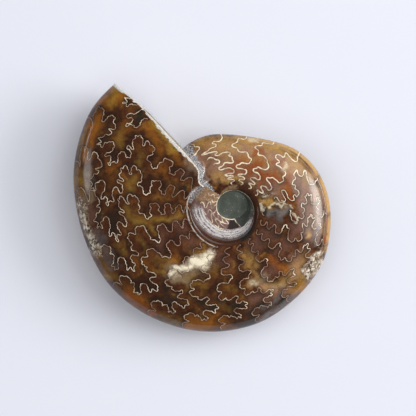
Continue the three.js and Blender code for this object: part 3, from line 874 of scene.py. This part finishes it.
VIOLET = [
    (2.4, 0.8, [(345, .55), (352, .62)]), (2.4, 0.7, [(350, .75), (374, .70)]),
    (1.4, 0.8, [(343, .79), (348, .78)]), (1.4, 0.8, [(330, .50), (345, .50)]),
    (1.4, 0.8, [(372, .58), (384, .68)]), (1.5, 0.9, [(384, .20), (398, .36)]),
    (1.5, 0.7, [(386, .35), (392, .45)]), (1.2, 0.7, [(402, .28), (408, .30)]),
    (1.6, 0.9, [(282, .68), (292, .74)]), (1.6, 0.7, [(281, .80), (290, .80)]),
    (1.2, 0.8, [(177, .87), (184, .85)]), (2.0, 0.5, [(205, .13), (222, .12)]),
    (1.8, 0.5, [(190, .15), (200, .10)]), (2.0, 0.6, [(296, .48), (304, .50)]),
    (2.4, 0.6, [(300, .12), (325, .15)]), (2.4, 0.5, [(326, .25), (338, .20)]),
    (2.0, 0.6, [(316, .42), (328, .45)]), (1.8, 0.6, [(318, .62), (330, .70)]),
    (1.5, 0.6, [(482, .70), (488, .70)]), (1.6, 0.5, [(424, .40), (430, .30)]),
    (2.0, 0.5, [(250, .10), (262, .20)]), (1.5, 0.6, [(137, .14), (144, .16)]),
    (1.4, 0.5, [(404, .56), (409, .50)]), (1.4, 0.5, [(318, .84), (328, .78)]),
    (1.6, 0.4, [(196, .28), (208, .40)]),
]
DARK = [
    (0.9, 1.2, [(134.6, .85), (135.8, .83)]), (1.4, 1.2, [(135, .73), (136.6, .69)]),
    (1.0, 1.0, [(143, .955), (147, .94)]), (0.9, 1.1, [(143.5, .85), (149, .815)]),
    (0.8, 1.0, [(151.5, .85), (155, .825)]), (0.7, 1.0, [(156, .715), (160, .70)]),
    (0.6, 0.9, [(155, .75), (152, .78)]), (0.9, 0.9, [(160, .95), (164, .935)]),
    (1.0, 0.8, [(160, .85), (165, .82)]), (1.0, 0.9, [(168, .85), (171, .82)]),
    (0.9, 0.7, [(177, .83), (186, .82)]), (0.8, 1.0, [(146, .105), (156, .10)]),
    (0.7, 0.7, [(150, .17), (155, .15)]), (1.6, 0.6, [(228, .68), (236, .75)]),
    (1.3, 0.8, [(177, .96), (187, .975), (196, .96)]),
    (1.6, 0.7, [(251, .62), (262, .70)]), (1.8, 0.8, [(272, .72), (278, .80)]),
    (1.6, 0.9, [(268, .92), (280, .95)]), (1.5, 0.9, [(283, .90), (300, .90)]),
    (1.2, 0.8, [(280, .83), (288, .80)]),
    (1.4, 0.6, [(246, .60), (252, .56)]), (1.0, 0.6, [(203, .83), (206, .78)]),
    (1.0, 0.6, [(216, .83), (222, .84)]), (0.7, 0.9, [(361, .40), (355, .42)]),
    (1.1, 0.9, [(344, .30), (352, .20)]), (0.5, 1.1, [(385.5, .075), (391, .075)]),
    (0.9, 0.9, [(348, .12), (358, .05)]), (0.5, 0.9, [(485, .93), (488, .89)]),
    (1.0, 0.6, [(310, .27), (318, .30)]), (1.0, 0.5, [(396, .14), (406, .12)]),
    (1.4, 0.5, [(180, .68), (190, .72)]), (1.2, 0.5, [(171, .52), (176, .55)]),
    (1.0, 0.5, [(325, .26), (334, .34)]), (1.2, 0.5, [(254, .90), (246, .87)]),
]
GREY = [
    (0.9, 0.8, [(285, .97), (300, .95)]), (0.8, 0.8, [(286, .85), (292, .86)]),
    (0.7, 0.7, [(292, .84), (300, .83)]), (1.2, 0.9, [(357, .12), (358, .38)]),
    (1.0, 0.9, [(350, .25), (356, .33)]), (0.7, 0.6, [(321, .83), (330, .85)]),
    (1.6, 0.5, [(300, .97), (306, .95)]), (1.5, 0.45, [(190, .86), (206, .86)]),
]
CREAM = [
    (0.5, 1.0, [(223.5, .48), (226, .46)]), (0.8, 1.1, [(224.5, .41), (228, .39)]),
    (1.1, 1.2, [(229, .35), (233, .31)]), (1.5, 1.2, [(234, .25), (239, .22)]),
    (1.4, 1.1, [(239, .18), (243, .14)]), (0.5, 0.6, [(244, .13), (248, .11)]),
    (0.5, 0.4, [(228, .48), (233, .46)]), (0.5, 0.45, [(285, .50), (289, .52)]),
    (0.30, 0.8, [(349, .50), (353, .52), (357, .49)]), (0.22, 0.7, [(349, .53), (356, .46)]),
    (0.30, 0.65, [(370, .35), (366, .41), (361, .45)]), (0.6, 0.7, [(361, .02), (372, .03)]),
    (0.30, 0.65, [(367, .10), (369, .20), (366, .28), (367, .36)]),
    (0.8, 0.5, [(430, .95), (436, .95)]), (0.6, 0.5, [(399, .66), (402, .70)]),
]
RUBBLE = [
    (1.5, 0.8, [(178, .95), (188, .95), (197, .92)]), (1.9, 1.2, [(320, .90), (328, .93)]),
    (1.2, 1.0, [(328, .85), (333, .93)]), (0.7, 0.6, [(381, .24), (388, .12)]),
]
# Rosy brown fill. Where it lies on the right flank below the keel and over the first whorl it is
# also a painted pale sheen of the lamps' reflection.
PINK_AND_SHEEN = [
    (3.0, 0.85, [(385, .35), (410, .50), (440, .45), (470, .40)]),
    (2.6, 1.1, [(348, .72), (366, .74), (390, .68)]), (2.2, 0.8, [(482, .65), (488, .80)]),
    (1.7, 0.9, [(313, .75), (323, .65)]), (1.4, 0.8, [(292, .60), (297, .75)]),
    (2.0, 0.6, [(396, .20), (430, .25), (470, .30)]), (2.6, 0.9, [(395, .75), (425, .72)]),
    (2.8, 0.9, [(432, .72), (470, .70)]), (1.6, 0.7, [(300, .84), (306, .80)]),
]
RUST = [
    (1.6, 0.95, [(399, .45), (412, .33)]), (1.5, 0.95, [(419, .52), (427, .36)]),
    (1.5, 0.85, [(440, .46), (452, .35)]), (1.3, 0.8, [(386, .50), (392, .62)]),
    (0.9, 0.8, [(404, .72), (410, .66)]), (0.9, 0.8, [(423, .74), (429, .66)]),
    (0.5, 0.9, [(334, .95), (345, .94)]), (1.3, 0.6, [(402, .20), (408, .35)]),
    (1.3, 0.7, [(424, .25), (431, .45)]), (1.6, 0.6, [(435, .30), (446, .27)]),
    (1.2, 0.6, [(370, .45), (388, .50)]), (1.2, 0.6, [(370, .55), (376, .38)]),
    (1.6, 0.5, [(308, .42), (311, .60)]), (1.5, 0.6, [(218, .92), (232, .95)]),
]
# Milky clouds in the calcite. The one on the left flank by the keel, about 165 to 176 degrees, is a
# painted sheen where the left lamps are reflected.
HAZE_AND_SHEEN = [
    (2.2, 0.9, [(225, .45), (233, .36), (243, .20)]), (1.2, 0.8, [(228, .52), (236, .47)]),
    (1.0, 0.7, [(362, .36), (370, .26)]), (1.0, 0.8, [(284, .50), (296, .52)]),
    (1.2, 0.6, [(298, .70), (305, .74)]), (1.5, 0.7, [(165, .86), (176, .88)]),
    (1.3, 0.5, [(133.5, .10), (137, .20)]),
]
picker = np.random.default_rng(4)
KEPT_BELOW = 0.8        # share of the patches
WIDER_BELOW = 1.15
LONGEST_BELOW = 60      # degrees; a patch that the turn's end would cut in two is longer


def other_side(marks):
    """The same filling on the flank below: patches of the same kind, strewn differently."""
    moved = []
    for width, strength, places in marks:
        if picker.random() < KEPT_BELOW:
            turn, outwards = picker.uniform(25, 300), picker.uniform(-0.06, 0.06)
            moved.append((width * WIDER_BELOW, strength, [
                (MOUTH + (a - MOUTH + turn) % (TURN - 30), min(max(u + outwards, 0), 1))
                for a, u in places]))
    return [mark for mark in moved if abs(mark[2][0][0] - mark[2][-1][0]) < LONGEST_BELOW]


fillings = {}
for name, marks in {"amber": AMBER, "gold": GOLD, "ochre": OCHRE, "violet": VIOLET, "dark": DARK,
                    "grey": GREY, "cream": CREAM, "rubble": RUBBLE, "pink_and_sheen": PINK_AND_SHEEN, "rust": RUST,
                    "haze_and_sheen": HAZE_AND_SHEEN}.items():
    fillings[name] = patch(marks) + patch(other_side(marks), -1)

# How near each point is to a wall edge, and whether it lies behind the edge or before it. The
# shading fades over so many millimetres.
FADE_BEHIND, FADE_BEFORE, OUTLINE_WIDTH, FURTHEST = 0.8, 1.1, 0.45, 4.0
behind, before, outline, lies_behind = np.zeros((4, len(plan)))
for side in (1, -1):
    walls = [course for number, course in edge_courses[side] if number < len(WALLS)]
    whole = np.concatenate(walls)
    place, normal = surface_frame(whole[:, 0], whole[:, 1], side)
    heading = np.concatenate([np.gradient(flank_point(*course.T, side), axis=0)
                              for course in walls])
    backwards = np.cross(normal, heading) * side
    tree = kdtree.KDTree(len(place))
    for k, p in enumerate(place):
        tree.insert(p, k)
    tree.balance()
    for k in np.flatnonzero(flat_side == side):
        _, n, gap = tree.find(points[k])
        if gap < FURTHEST:
            is_behind = (points[k] - place[n]) @ backwards[n] > 0
            shading, fade = (behind, FADE_BEHIND) if is_behind else (before, FADE_BEFORE)
            shading[k] = math.exp(-gap / fade)
            lies_behind[k] = is_behind
            outline[k] = bell(0, OUTLINE_WIDTH, gap)
on_flank = flat_radius > along(SHOULDER, flat_angle) - 0.3
# The oldest chambers are paler, and so is the shading by their walls.
paler = 1 - 0.55 * ease(372, 400, flat_angle)
fillings["behind"] = behind * on_flank * paler
fillings["before"] = before * on_flank * paler
fillings["outline"] = outline * on_flank * paler
# A chamber's filling ends at its wall: dark and golden fills lie behind the edges.
for name, share_before in (("dark", 0.45), ("gold", 0.6), ("ochre", 0.75)):
    within = np.where(flat_angle < MOUTH + 7, 1, lies_behind)
    fillings[name] *= share_before + (1 - share_before) * within
fillings["amber"] *= 1 - 0.35 * lies_behind

share = share_of_flank(flat_angle, flat_radius)
seam_radius = along(SEAM, flat_angle)
shoulder_radius = along(SHOULDER, flat_angle)
plug_radius = np.minimum(along(PLUG_EDGE, flat_angle), seam_radius)
shelf = np.maximum(seam_radius - plug_radius, NARROWEST_SHELF)
inner_place = np.clip((flat_radius - plug_radius) / shelf, 0, 1)
past_seam = flat_radius - seam_radius
in_wall = ease(-0.15, 0.1, past_seam) * (1 - ease(-0.25, 0.2, flat_radius - shoulder_radius))
in_inner = (flat_radius > plug_radius - 0.1) * (1 - ease(-0.2, 0.05, past_seam))
# Along the keel of the first half turn the shell is left golden, beside a rusty worn groove.
along_keel = between(332, 340, 424, 444, flat_angle) * (flat_side > 0)
fillings["ochre"] = np.maximum(fillings["ochre"], 0.95 * along_keel * ease(0.935, 0.955, share))
in_groove = bell(0.930, 0.007, share) * along_keel * (1 - ease(388, 394, flat_angle))
fillings["rust"] = np.maximum(fillings["rust"], 1.1 * in_groove)
beside_groove = bell(0.912, 0.008, share) * along_keel
fillings["haze_and_sheen"] = np.maximum(fillings["haze_and_sheen"], 0.8 * beside_groove)
# The steep wall of the umbilicus: its own dark brown, made near black with painted shade.
fillings["wall"] = in_wall
fillings["inner"] = in_inner
# White layers at the outer edge of the inner whorl, partly worn shell and partly a painted
# highlight where it dips under the outer whorl, with dark chambers inside them and a dark end
# to the tail of stone.
worn_and_highlight_along = between(168, 186, 318, 352, flat_angle)
fillings["worn_and_highlight"] = in_inner * ease(0.46, 0.66, inner_place) * worn_and_highlight_along
fillings["strata"] = inner_place
dark_chambers = ease(244, 262, flat_angle) * (1 - ease(0.45, 0.62, inner_place))
in_tail = between(278, 290, 300, 336, flat_angle) * ease(2.2, 3.2, flat_radius)
fillings["ash"] = np.maximum(fillings["inner"] * dark_chambers, in_tail * (share < 0))
# Tan, broken shell near the mouth's foot, in the wall of the umbilicus and on the inner whorl.
fillings["tan"] = np.maximum(0.6 * in_wall * ease(428, 446, flat_angle),
                             in_inner * (1 - ease(150, 182, flat_angle)))
# Chalky shell left along the cut mouth, with a painted highlight on the lip by the umbilicus,
# and a pale line along the umbilical shoulder, partly worn shell and partly a painted highlight.
MOUTH_CHALK_AND_HIGHLIGHT = [
    (-.1, .28), (.14, .28), (.22, .5), (.31, .75), (.42, .75), (.54, .55), (.65, .30), (.8, .2),
    (.93, .32), (1, .6),
]
from_mouth = np.radians(flat_angle - MOUTH) * flat_radius + 0.35 * fine_drift[:, 0]
at_mouth = 1 - ease(0.7, 1.1, from_mouth / along(MOUTH_CHALK_AND_HIGHLIGHT, share))
shoulder_line_and_highlight = bell(0.022, 0.006, share) * between(138, 146, 236, 256, flat_angle)
fillings["chalk_and_highlight"] = np.maximum(at_mouth * (flat_radius > seam_radius), 0.6 * shoulder_line_and_highlight)
# Glittering grey stone in the corner between the mouth and the whorl before it.
GLITTER_REACH = [
    (4, .1), (6.5, .6), (9, 1.1), (10.3, 1.3), (12.8, 1.2), (15.5, 1.8), (17, 1.5), (19, .4),
]
to_mouth = np.radians(MOUTH + TURN - flat_angle) * flat_radius + 0.5 * fine_drift[:, 1]
in_corner = 1 - ease(0.8, 1.15, to_mouth / along(GLITTER_REACH, flat_radius))
by_umbilicus = 0.55 * spot(flat_angle, share, (152, 0.0), (24, 0.05))
fillings["glitter"] = np.maximum(in_corner * (flat_angle > 470), by_umbilicus)
# The fillings ride to the materials on the mesh, three to a layer.
CARRIED = {"warm": ("amber", "gold", "ochre"), "cool": ("violet", "dark", "grey"),
           "pale": ("cream", "rubble", "chalk_and_highlight"), "lines": ("behind", "before", "outline"),
           "middle": ("wall", "inner", "worn_and_highlight"), "corner": ("strata", "tan", "glitter"),
           "rosy": ("pink_and_sheen", "rust", "haze_and_sheen"), "shade": ("ash",)}
for name, parts in CARRIED.items():
    layer = body_mesh.attributes.new(name, "FLOAT_COLOR", "POINT")
    values = np.ones((len(plan), 4))
    for k, part in enumerate(parts):
        values[:, k] = fillings[part]
    layer.data.foreach_set("color", values.astype(np.float32).ravel())

# Calcite filling, cut and polished like glass. The eye sees deep honey to dark brown clouds under
# a clear bright skin.
calcite = bare_material("brown_calcite_polished")
body_place = add(calcite, "TexCoord").outputs["Object"]
layers = {}
for name, parts in CARRIED.items():
    source = add(calcite, "Attribute", attribute_name=name)
    split = add(calcite, "SeparateColor", {"Color": source.outputs["Color"]})
    for k, part in enumerate(parts):
        layers[part] = split.outputs[k]
# Clouds about 3 mm across, mottling about 0.8 mm across, and crystal grain of about 0.2 mm.
clouds = add(calcite, "TexNoise",
             {"Vector": body_place, "Scale": 330, "Detail": 3, "Roughness": 0.55, "Distortion": 0.6})
mottling = add(calcite, "TexNoise",
               {"Vector": body_place, "Scale": 1200, "Detail": 4, "Roughness": 0.6})
grain = add(calcite, "TexNoise",
            {"Vector": body_place, "Scale": 4200, "Detail": 2, "Roughness": 0.6})
# The ground colour: chestnut to near-black clouds with honey flecks.
blend = add(calcite, "Math",
            {0: mottling.outputs["Fac"], 1: 0.45, 2: clouds.outputs["Fac"]},
            operation="MULTIPLY_ADD")
ground = add(calcite, "ValToRGB", {"Fac": blend.outputs[0]},
             [(0.58, "#33190A"), (0.72, "#43240F"), (0.87, "#5F3A16"), (1.0, "#8A6026")])
# Broken crystals about 0.5 mm across, each catching the light in its own way.
crystal = add(calcite, "TexVoronoi", {"Vector": body_place, "Scale": 2100})
crystal_tone = add(calcite, "ValToRGB", {"Fac": crystal.outputs["Color"]},
                   [(0.22, "#4A3E30"), (0.42, "#8B7862"), (0.62, "#B8A88F"), (0.85, "#EFE7D8")])
# Bright and dark glitter of about 0.25 mm in the grey stone by the mouth.
glitter = add(calcite, "ValToRGB", {"Fac": grain.outputs["Fac"]},
              [(0.36, "#35302C"), (0.70, "#CFCDD0")])
# Worn shell layers under a painted highlight: white lines and grey-brown grooves between them.
layer_waver = add(calcite, "Math", {0: clouds.outputs["Fac"], 1: 14.0},
                  operation="MULTIPLY")
layer_waves = add(calcite, "Math",
                  {0: layers["strata"], 1: WORN_LAYERS * 4 * math.pi, 2: layer_waver.outputs[0]},
                  operation="MULTIPLY_ADD")
layer_lines = add(calcite, "Math", {0: layer_waves.outputs[0]}, operation="SINE")
layer_break = add(calcite, "Math",
                  {0: mottling.outputs["Fac"], 1: 0.9, 2: grain.outputs["Fac"]},
                  operation="MULTIPLY_ADD")
layer_speckle = add(calcite, "Math",
                    {0: layer_lines.outputs[0], 1: 0.14, 2: layer_break.outputs[0]},
                    operation="MULTIPLY_ADD")
worn_and_highlight_tone = add(calcite, "ValToRGB", {"Fac": layer_speckle.outputs[0]},
                [(0.66, "#6A5D5A"), (1.0, "#DCD7D6")])
# Two-tone fillings, mottled from one colour to the other.
two_tone = {}
# The umbilical wall's near-black is painted shade over its dark brown.
for name, one, other, by in (("wall", "#120B07", "#5A3018", mottling),
                             ("inner", "#382628", "#A07F76", mottling),
                             ("tan", "#2E1307", "#CDA67C", mottling),
                             ("chalk_and_highlight", "#8C857A", "#F6F3EC", grain)):
    two_tone[name] = add(calcite, "Mix",
                         {0: by.outputs["Fac"], 6: linear(one), 7: linear(other)},
                         data_type="RGBA").outputs[2]
# Each filling lies over the one before. Its front is frayed by the mottling, and the cream one's
# by the grain: a filling starts to show at the first number, is full at the second, and covers
# what is under it as much as the third says.
FRAYING = 0.38
colour = ground.outputs["Color"]
for part, over, low, high, strength in (
        ("before", linear("#602E0C"), 0.30, 1.30, 0.65),
        ("pink_and_sheen", linear("#AD8468"), 0.25, 1.15, 0.80),
        ("amber", linear("#A66414"), 0.25, 1.25, 0.85),
        ("gold", linear("#97722A"), 0.28, 1.25, 0.85),
        ("ochre", linear("#BE9452"), 0.25, 1.15, 0.9),
        ("violet", linear("#6C4C40"), 0.25, 1.15, 0.85),
        ("rust", linear("#8A4310"), 0.30, 1.15, 0.85),
        ("haze_and_sheen", linear("#A69274"), 0.30, 1.30, 0.7),
        ("behind", linear("#2A170B"), 0.27, 1.25, 0.65),
        ("grey", linear("#6E6A68"), 0.25, 1.10, 0.85),
        ("dark", linear("#22221A"), 0.25, 1.10, 0.88),
        ("outline", linear("#1E0F08"), 0.40, 1.30, 0.6),
        ("cream", linear("#F3E7CB"), 0.32, 1.30, 1.0),
        ("rubble", crystal_tone.outputs["Color"], 0.35, 1.00, 0.85),
        ("wall", two_tone["wall"], 0.30, 0.80, 1.0),
        ("inner", two_tone["inner"], 0.30, 0.80, 1.0),
        ("ash", linear("#23211F"), 0.35, 1.00, 0.9),
        ("tan", two_tone["tan"], 0.35, 1.00, 0.9),
        ("worn_and_highlight", worn_and_highlight_tone.outputs["Color"], 0.30, 1.00, 0.95),
        ("glitter", glitter.outputs["Color"], 0.35, 0.90, 0.95),
        ("chalk_and_highlight", two_tone["chalk_and_highlight"], 0.35, 0.85, 1.0)):
    frayed = add(calcite, "Math",
                 {0: (grain if part == "cream" else mottling).outputs["Fac"], 1: FRAYING,
                  2: layers[part]}, operation="MULTIPLY_ADD")
    shown = add(calcite, "MapRange",
                {"Value": frayed.outputs[0], "From Min": low, "From Max": high,
                 "To Max": strength})
    colour = add(calcite, "Mix", {0: shown.outputs["Result"], 6: colour, 7: over},
                 data_type="RGBA").outputs[2]
grained = add(calcite, "Mix", {0: 0.6, 6: colour, 7: grain.outputs["Fac"]},
              data_type="RGBA", blend_type="OVERLAY").outputs[2]
skin = add(calcite, "Bump",
           {"Height": mottling.outputs["Fac"], "Strength": 0.05, "Distance": 0.0001})
calcite_shader = add(calcite, "BsdfPrincipled",
                     {"Base Color": grained, "Roughness": 0.13, "IOR": 1.52,
                      "Normal": skin.outputs["Normal"]})
add(calcite, "OutputMaterial", {"Surface": calcite_shader.outputs["BSDF"]})

# ---- The stone in the umbilicus and the cut mouth -----------------------------------------------
# Fine grey-green siltstone, the mud that the shell lay in, still fills the middle. The mouth is
# where the fossil was sawn across, through shell and filling.

# Siltstone, left matt: dull and fine-grained, in clouds of about 2.4 mm, with a grain of about
# 0.4 mm and pale specks of about the same size where it is pitted, painted as glints.
siltstone = bare_material("green_grey_siltstone_matt")
stone_place = add(siltstone, "TexCoord").outputs["Object"]
silt = add(siltstone, "TexNoise",
           {"Vector": stone_place, "Scale": 2600, "Detail": 4, "Roughness": 0.7})
silt_colour = add(siltstone, "Mix",
                  {0: silt.outputs["Fac"], 6: linear("#1C211B"), 7: linear("#4C5446")},
                  data_type="RGBA").outputs[2]
pits = add(siltstone, "TexVoronoi", {"Vector": stone_place, "Scale": 2300})
pit_light = add(siltstone, "MapRange",
                {"Value": pits.outputs["Distance"], "From Min": 0.10, "From Max": 0.22,
                 "To Min": 0.8, "To Max": 0.0})
drifting = add(siltstone, "TexNoise", {"Vector": stone_place, "Scale": 420, "Detail": 2})
where_pitted = add(siltstone, "MapRange",
                   {"Value": drifting.outputs["Fac"], "From Min": 0.50, "From Max": 0.58})
glints = add(siltstone, "Math",
             {0: pit_light.outputs["Result"], 1: where_pitted.outputs["Result"]},
             operation="MULTIPLY")
cloudy = add(siltstone, "MapRange",
             {"Value": drifting.outputs["Fac"], "From Min": 0.35, "From Max": 0.65,
              "To Max": 0.6})
silt_colour = add(siltstone, "Mix",
                  {0: cloudy.outputs["Result"], 6: silt_colour, 7: linear("#5A605A")},
                  data_type="RGBA").outputs[2]
silt_colour = add(siltstone, "Mix",
                  {0: glints.outputs[0], 6: silt_colour, 7: linear("#B9BBA8")},
                  data_type="RGBA").outputs[2]
# The tail of the stone is darker.
tail = add(siltstone, "Attribute", attribute_name="shade")
tail_layers = add(siltstone, "SeparateColor", {"Color": tail.outputs["Color"]})
tail_shade = add(siltstone, "Math", {0: tail_layers.outputs[0], 1: 0.75},
                 operation="MULTIPLY")
silt_colour = add(siltstone, "Mix",
                  {0: tail_shade.outputs[0], 6: silt_colour, 7: linear("#23241F")},
                  data_type="RGBA").outputs[2]
silt_bump = add(siltstone, "Bump",
                {"Height": silt.outputs["Fac"], "Strength": 0.6, "Distance": 0.0001})
silt_shader = add(siltstone, "BsdfPrincipled",
                  {"Base Color": silt_colour, "Roughness": 0.6, "IOR": 1.5,
                   "Normal": silt_bump.outputs["Normal"]})
add(siltstone, "OutputMaterial", {"Surface": silt_shader.outputs["BSDF"]})

# Calcite, sawn and not polished: brown and cream clouds of about 2.4 mm under a sugary grain of
# about 0.7 mm, inside a pale rim of shell.
sawn = bare_material("pale_calcite_sawn")
sawn_place = add(sawn, "TexCoord").outputs["Object"]
crystals = add(sawn, "TexNoise",
               {"Vector": sawn_place, "Scale": 1500, "Detail": 4, "Roughness": 0.65})
sawn_clouds = add(sawn, "TexNoise", {"Vector": sawn_place, "Scale": 420, "Detail": 4})
sawn_fill = add(sawn, "ValToRGB", {"Fac": sawn_clouds.outputs["Fac"]},
                [(0.28, "#6E4C2C"), (0.76, "#D3C2A0")])
rim_source = add(sawn, "Attribute", attribute_name="pale")
rim_layers = add(sawn, "SeparateColor", {"Color": rim_source.outputs["Color"]})
shell_rim = add(sawn, "MapRange",
                {"Value": rim_layers.outputs[2], "From Min": 0.78, "From Max": 0.90})
sawn_colour = add(sawn, "Mix",
                  {0: shell_rim.outputs["Result"], 6: sawn_fill.outputs["Color"],
                   7: linear("#E4DFD3")}, data_type="RGBA").outputs[2]
sawn_colour = add(sawn, "Mix",
                  {0: 0.5, 6: sawn_colour, 7: crystals.outputs["Fac"]},
                  data_type="RGBA", blend_type="OVERLAY").outputs[2]
sawn_shader = add(sawn, "BsdfPrincipled",
                  {"Base Color": sawn_colour, "Roughness": 0.45, "IOR": 1.55})
add(sawn, "OutputMaterial", {"Surface": sawn_shader.outputs["BSDF"]})
for material in (siltstone, calcite, sawn):
    body_mesh.materials.append(material)

# ---- The table, the lights and the camera -------------------------------------------------------
# A plain pale sheet under soft light: a broad lamp and a key to the right, two dim ones to the
# left, a window behind, a big pale ceiling, and the faint light of the room. Sizes are metres.

FLOOR_WIDTH = 3.0
sheet_mesh = bpy.data.meshes.new("pale_table")
half_floor = FLOOR_WIDTH / 2
sheet_mesh.from_pydata([(-half_floor, -half_floor, 0), (half_floor, -half_floor, 0),
                        (half_floor, half_floor, 0), (-half_floor, half_floor, 0)], [],
                       [(0, 1, 2, 3)])
table_top = bpy.data.objects.new("pale_table", sheet_mesh)
bpy.context.collection.objects.link(table_top)
# White paper, matt: an even pale ground with no gloss.
paper = bare_material("white_paper_matt")
paper_shader = add(paper, "BsdfPrincipled",
                   {"Base Color": linear("#E6E8F2"), "Roughness": 0.9, "Specular IOR Level": 0.0})
add(paper, "OutputMaterial", {"Surface": paper_shader.outputs["BSDF"]})
sheet_mesh.materials.append(paper)

room = bpy.data.worlds.new("dim_room")
room.use_nodes = True
room.node_tree.nodes["Background"].inputs["Color"].default_value = linear("#F7F8FC")
room.node_tree.nodes["Background"].inputs["Strength"].default_value = 0.16
bpy.context.scene.world = room


def soft_lamp(name, toward, distance, size, watts, seen_in_gloss=True):
    """An area lamp that faces the middle of the object. toward is (azimuth, elevation)."""
    azimuth, elevation = (math.radians(a) for a in toward)
    lamp_data = bpy.data.lights.new(name, "AREA")
    lamp_data.shape = "ELLIPSE"
    lamp_data.size, lamp_data.size_y = size
    lamp_data.energy = watts
    lamp = bpy.data.objects.new(name, lamp_data)
    direction = Vector((math.cos(elevation) * math.cos(azimuth),
                        math.cos(elevation) * math.sin(azimuth), math.sin(elevation)))
    lamp.location = direction * distance
    lamp.rotation_euler = direction.to_track_quat("Z", "Y").to_euler()
    lamp.visible_glossy = seen_in_gloss
    bpy.context.collection.objects.link(lamp)


soft_lamp("broad_lamp", (24, 42), 1.0, (1.3, 0.8), 4.3)
soft_lamp("key_lamp", (8, 24), 1.0, (0.95, 0.50), 3.7)
soft_lamp("key_lamp_core", (8, 25), 1.0, (0.62, 0.32), 2.8)
soft_lamp("slim_lamp", (166, 13), 1.0, (0.30, 0.05), 0.2)
soft_lamp("side_lamp", (180, 24), 1.0, (0.34, 0.26), 0.6)
soft_lamp("window_fill", (78, 32), 1.0, (1.0, 0.5), 0.4)
soft_lamp("overhead_bounce", (170, 78), 1.2, (2.6, 2.6), 11.9, seen_in_gloss=False)

camera_data = bpy.data.cameras.new("camera")
camera = bpy.data.objects.new("camera", camera_data)
bpy.context.collection.objects.link(camera)
bpy.context.scene.camera = camera
VIEW_WIDTH = 0.0885         # of the table, at the level of the object's middle
CAMERA_HEIGHT = 0.70
OBJECT_MIDDLE = 0.0077
SENSOR_WIDTH = 36
CAMERA_OVER = (0.00122, 0.00001)
camera_data.sensor_width = SENSOR_WIDTH
camera_data.lens = SENSOR_WIDTH * (CAMERA_HEIGHT - OBJECT_MIDDLE) / VIEW_WIDTH
camera.location = (*CAMERA_OVER, CAMERA_HEIGHT)
bpy.context.scene.view_settings.view_transform = "Standard"
